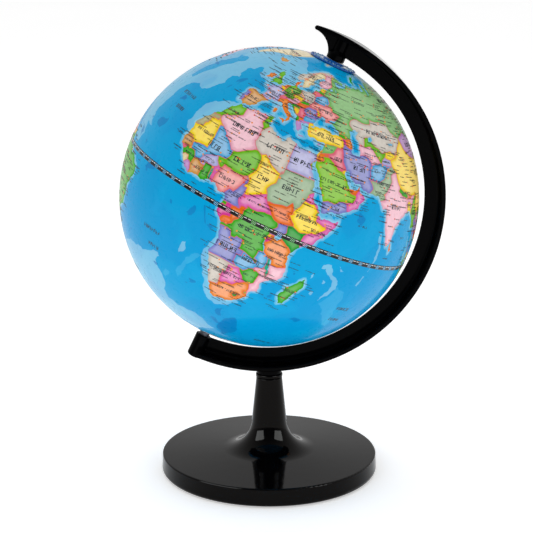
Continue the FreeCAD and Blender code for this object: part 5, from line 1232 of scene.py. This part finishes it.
def lay_floor(scene, colour):
    """A flat disc of rings about the origin, 8 m in radius, of a pale and faintly glowing paint."""
    n = 48
    ring = np.radians(np.arange(n) * 360 / n)
    radii = np.array([0.001, 0.3, 1.5, 8.0])
    points = np.stack([radii[:, None] * np.cos(ring), radii[:, None] * np.sin(ring),
                       np.zeros((len(radii), n))], -1).reshape(-1, 3)
    i, j = np.meshgrid(np.arange(len(radii) - 1), np.arange(n), indexing="ij")
    after = (j + 1) % n
    faces = np.stack([i * n + j, (i + 1) * n + j, (i + 1) * n + after, i * n + after], -1)
    mesh = bpy.data.meshes.new("floor")
    mesh.from_pydata(points.tolist(), [], [*faces.reshape(-1, 4).tolist(), list(range(n))])
    floor = bpy.data.objects.new("floor", mesh)
    scene.collection.objects.link(floor)
    m = Recipe("pale floor", Specular_IOR_Level=0.1, Emission_Color=(1.0, 1.0, 1.0), Emission_Strength=0.42)
    m.use("Base Color", m.mix(m.noise(3.0), (*colour, 1), tuple(c * 0.985 for c in colour) + (1,)))
    m.use("Roughness", m.ramp(m.noise(60.0), 0.3, 0.7, 0.75, 0.85))
    mesh.materials.append(m.material)


def softbox(name, place, aim, size, power, mirrored=True):
    """A rectangular lamp of that size in metres and power in watts, aimed at a point. Mirrored says
    whether glossy surfaces show it."""
    lamp = bpy.data.lights.new(name, "AREA")
    lamp.shape = "RECTANGLE"
    lamp.size, lamp.size_y = size
    lamp.energy = power
    holder = bpy.data.objects.new(name, lamp)
    bpy.context.scene.collection.objects.link(holder)
    holder.location = place
    holder.rotation_mode = "QUATERNION"
    holder.rotation_quaternion = (Vector(aim) - Vector(place)).to_track_quat("-Z", "Y")
    holder.visible_glossy = mirrored
    holder.visible_camera = False
    return holder


def hang_lamps():
    """Three soft panels that light everything, and two windows that show only as glints on the foot."""
    ball = (0.0, 0.0, 0.19)
    softbox("front left panel", (-0.75, -1.5, 1.0), ball, (1.0, 1.0), 5.9, mirrored=False)
    softbox("front right panel", (0.85, -1.4, 0.7), ball, (0.9, 0.9), 3.9, mirrored=False)
    softbox("overhead panel", (0.0, 0.1, 1.9), ball, (1.8, 1.8), 5.0, mirrored=False)
    lit = bpy.data.collections.new("window lit")
    for name in ("base_pedestal", "stem_collar"):
        lit.objects.link(frame["nodes"][name])
    for name, side in (("left window", -1.1), ("right window", 1.1)):
        window = softbox(name, (side, -0.78, 0.62), (0.0, 0.0, 0.05), (1.1, 0.85), 32.0)
        window.data.color = (0.86, 0.94, 1.0)
        window.visible_diffuse = False
        window.light_linking.receiver_collection = lit


def set_world(scene):
    """White surroundings, dim towards the viewer's side and bright towards the back."""
    world = bpy.data.worlds.new("studio")
    world.use_nodes = True
    tree = world.node_tree
    tree.nodes["Background"].inputs[0].default_value = (1.0, 1.0, 1.0, 1.0)
    split = tree.nodes.new("ShaderNodeSeparateXYZ")
    tree.links.new(tree.nodes.new("ShaderNodeTexCoord").outputs["Generated"], split.inputs[0])
    fall = tree.nodes.new("ShaderNodeMapRange")
    fall.interpolation_type = "SMOOTHSTEP"
    for label, value in zip(("From Min", "From Max", "To Min", "To Max"), (-0.95, 0.25, 0.12, 0.80)):
        fall.inputs[label].default_value = value
    tree.links.new(split.outputs["Y"], fall.inputs["Value"])
    tree.links.new(fall.outputs[0], tree.nodes["Background"].inputs[1])
    scene.world = world


# ---- numerals -------------------------------------------------------------------------
def numeral(figures, size):
    """Corners and faces of raised figures, centred at the origin and narrowed to suit how many there are.
    The size is the font's, in mm."""
    text = bpy.data.curves.new("numeral", "FONT")
    text.body = figures
    text.size = size
    text.resolution_u = 3
    text.align_x, text.align_y = "CENTER", "CENTER"
    text.extrude = NUMERAL_RISE / 2
    text.offset = 0.03
    holder = bpy.data.objects.new("numeral", text)
    bpy.context.scene.collection.objects.link(holder)
    mesh = bpy.data.meshes.new_from_object(holder.evaluated_get(bpy.context.evaluated_depsgraph_get()))
    corners = np.zeros(len(mesh.vertices) * 3)
    mesh.vertices.foreach_get("co", corners)
    bpy.data.objects.remove(holder)
    corners = corners.reshape(-1, 3) * (NUMERAL_WIDTH[len(figures) - 1], 1.0, 1.0)
    return corners, [list(face.vertices) for face in mesh.polygons]


def numeral_ring(size):
    """Corners and faces of the hours round the dial: each is moved out to the ring and turned about the
    pole axis by its share of the circle, so that its foot faces the pole."""
    corners, faces, total = [], [], 0
    for hour in range(HOURS):
        shape, sides = numeral(str((hour + 11) % 12 + 1), size)
        turn = math.radians(hour * 360 / HOURS)
        x, y, z = shape[:, 0], shape[:, 1] + NUMERAL_RING_R, shape[:, 2]
        corners.append(np.stack([x * math.cos(turn) + y * math.sin(turn),
                                 y * math.cos(turn) - x * math.sin(turn),
                                 z + DIAL_FACE + NUMERAL_RISE / 2 - NUMERAL_SUNK], 1))
        faces += [[total + k for k in side] for side in sides]
        total += len(shape)
    return np.concatenate(corners), faces


# ---- operators ------------------------------------------------------------------------
class DESKGLOBE_OT_studio(bpy.types.Operator):
    """Lays the floor, hangs the lamps and sets the camera"""
    bl_idname = "deskglobe.studio"
    bl_label = "Studio"

    def execute(self, context):
        s = context.scene.deskglobe_studio
        set_camera(context.scene, s)
        lay_floor(context.scene, s.floor_colour)
        hang_lamps()
        set_world(context.scene)
        context.scene.view_settings.view_transform = "Standard"
        return {"FINISHED"}


class DESKGLOBE_OT_printed_map(bpy.types.Operator):
    """Prints the map on both halves of the ball, with its names and towns"""
    bl_idname = "deskglobe.printed_map"
    bl_label = "Printed map"

    def execute(self, context):
        s = context.scene.deskglobe_map
        chart = map_skins()
        print_material = map_print("map print", s)
        for name, node, north in (("north_map_print", "north_map_skin", True),
                                  ("south_map_print", "south_map_skin", False)):
            half_skin(name, node, north, chart, print_material)
        rows, inks = names_and_towns(np.random.default_rng(11), chart, s.towns)
        ink_material = printed_ink("lettering ink")
        away = np.abs(rows[:, 1]) * DEGREE > TAPE_W / 2 + TAPE_MARGIN
        north, east = rows[:, 1] > 0, rows[:, 0] > EAST_FROM
        for name, part in (("north_west_lettering", north & ~east), ("north_east_lettering", north & east),
                           ("south_lettering", ~north)):
            keep = part & away
            points, faces = stroke_boxes(*rows[keep].T)
            piece = make_piece(name, leaned(points), faces.tolist(), "globe", ink_material,
                               smooth=False)
            face_inks(piece.data, "ink", np.repeat(inks[keep], 6, 0))
        return {"FINISHED"}


class DESKGLOBE_OT_equator_tape(bpy.types.Operator):
    """Wraps the printed scale over the join of the two halves"""
    bl_idname = "deskglobe.equator_tape"
    bl_label = "Equator tape"

    def execute(self, context):
        points, faces, uv, under = tape_band()
        piece = make_piece("equator_scale", leaned(points), faces.tolist(), "globe",
                           tape_print("equator scale print"))
        piece.data.uv_layers.new(name="Band").data.foreach_set("uv", uv.astype(np.float32).ravel())
        face_inks(piece.data, "under", under)
        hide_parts("equator_tape")
        return {"FINISHED"}


class DESKGLOBE_OT_hour_dial(bpy.types.Operator):
    """Finishes the hour dial and raises its numerals, twice one to twelve"""
    bl_idname = "deskglobe.hour_dial"
    bl_label = "Hour dial"

    def execute(self, context):
        s = context.scene.deskglobe_dial
        dress(["time_dial"], gloss_plastic("blue dial plastic", s.dial_colour, 0.12, 0.4, coat=0.2))
        corners, faces = numeral_ring(s.numeral_size / MM * FONT_SHARE)
        make_piece("dial_numerals", leaned(corners), faces, "dial",
                   gloss_plastic("pale numeral plastic", s.numeral_colour, 0.2, 0.4), smooth=False)
        return {"FINISHED"}


class DESKGLOBE_OT_stand(bpy.types.Operator):
    """Finishes the arm, the pedestal and the collar in gloss black"""
    bl_idname = "deskglobe.stand"
    bl_label = "Arm and pedestal"

    def execute(self, context):
        s = context.scene.deskglobe_stand
        dress(["meridian_arm"], gloss_plastic("gloss black arm", s.black, s.polish, 0.03))
        dress(["base_pedestal", "stem_collar"],
              gloss_plastic("gloss black foot", s.black, s.polish, 0.085, tint=(1.0, 0.93, 0.86)))
        dress(["base_cover"], dull_plastic("black plate plastic", linear("17181a"), 0.5))
        dress(["base_pad"], foam_sheet("foam rubber", linear("2a2b2d")))
        return {"FINISHED"}


class DESKGLOBE_OT_inner_parts(bpy.types.Operator):
    """Finishes the shells, bushes, pins, screws and the weight"""
    bl_idname = "deskglobe.inner_parts"
    bl_label = "Inner parts"

    def execute(self, context):
        dress(["north_shell", "south_shell", "shell_joiner"],
              dull_plastic("white shell plastic", linear("dfe0dc"), 0.45))
        dress(["north_bush", "south_bush", "thrust_washer"],
              dull_plastic("black nylon", linear("141416"), 0.4, 600.0))
        dress(["north_pin", "south_pin", "stem_screw", "stem_washer", "cover_screws"],
              bright_metal("blackened steel", linear("5a5c62"), 0.3))
        dress(["base_weight"], bright_metal("pressed steel weight", linear("77797c"), 0.45, 0.4))
        return {"FINISHED"}


class DESKGLOBE_PT_panel(bpy.types.Panel):
    """Lists the settings and the steps that build the globe's finish"""
    bl_idname = "DESKGLOBE_PT_panel"
    bl_label = "Desktop Globe"
    bl_space_type = "VIEW_3D"
    bl_region_type = "UI"
    bl_category = "Globe"

    def draw(self, context):
        for label, settings in SETTINGS.items():
            box = self.layout.box()
            for field in settings.__annotations__:
                box.prop(getattr(context.scene, label), field)
        for step in STEPS:
            self.layout.operator(step.bl_idname)


SETTINGS = {"deskglobe_studio": StudioSettings, "deskglobe_map": MapSettings,
            "deskglobe_dial": DialSettings, "deskglobe_stand": StandSettings}
STEPS = (DESKGLOBE_OT_studio, DESKGLOBE_OT_printed_map, DESKGLOBE_OT_equator_tape, DESKGLOBE_OT_hour_dial,
         DESKGLOBE_OT_stand, DESKGLOBE_OT_inner_parts)


def register():
    for made in (*SETTINGS.values(), *STEPS, DESKGLOBE_PT_panel):
        bpy.utils.register_class(made)
    for label, settings in SETTINGS.items():
        setattr(bpy.types.Scene, label, bpy.props.PointerProperty(type=settings))


def unregister():
    for label in SETTINGS:
        delattr(bpy.types.Scene, label)
    for made in (DESKGLOBE_PT_panel, *reversed(STEPS), *reversed(SETTINGS.values())):
        bpy.utils.unregister_class(made)


def main():
    register()
    for step in STEPS:
        group, name = step.bl_idname.split(".")
        getattr(getattr(bpy.ops, group), name)()


if __name__ == "__main__":
    main()
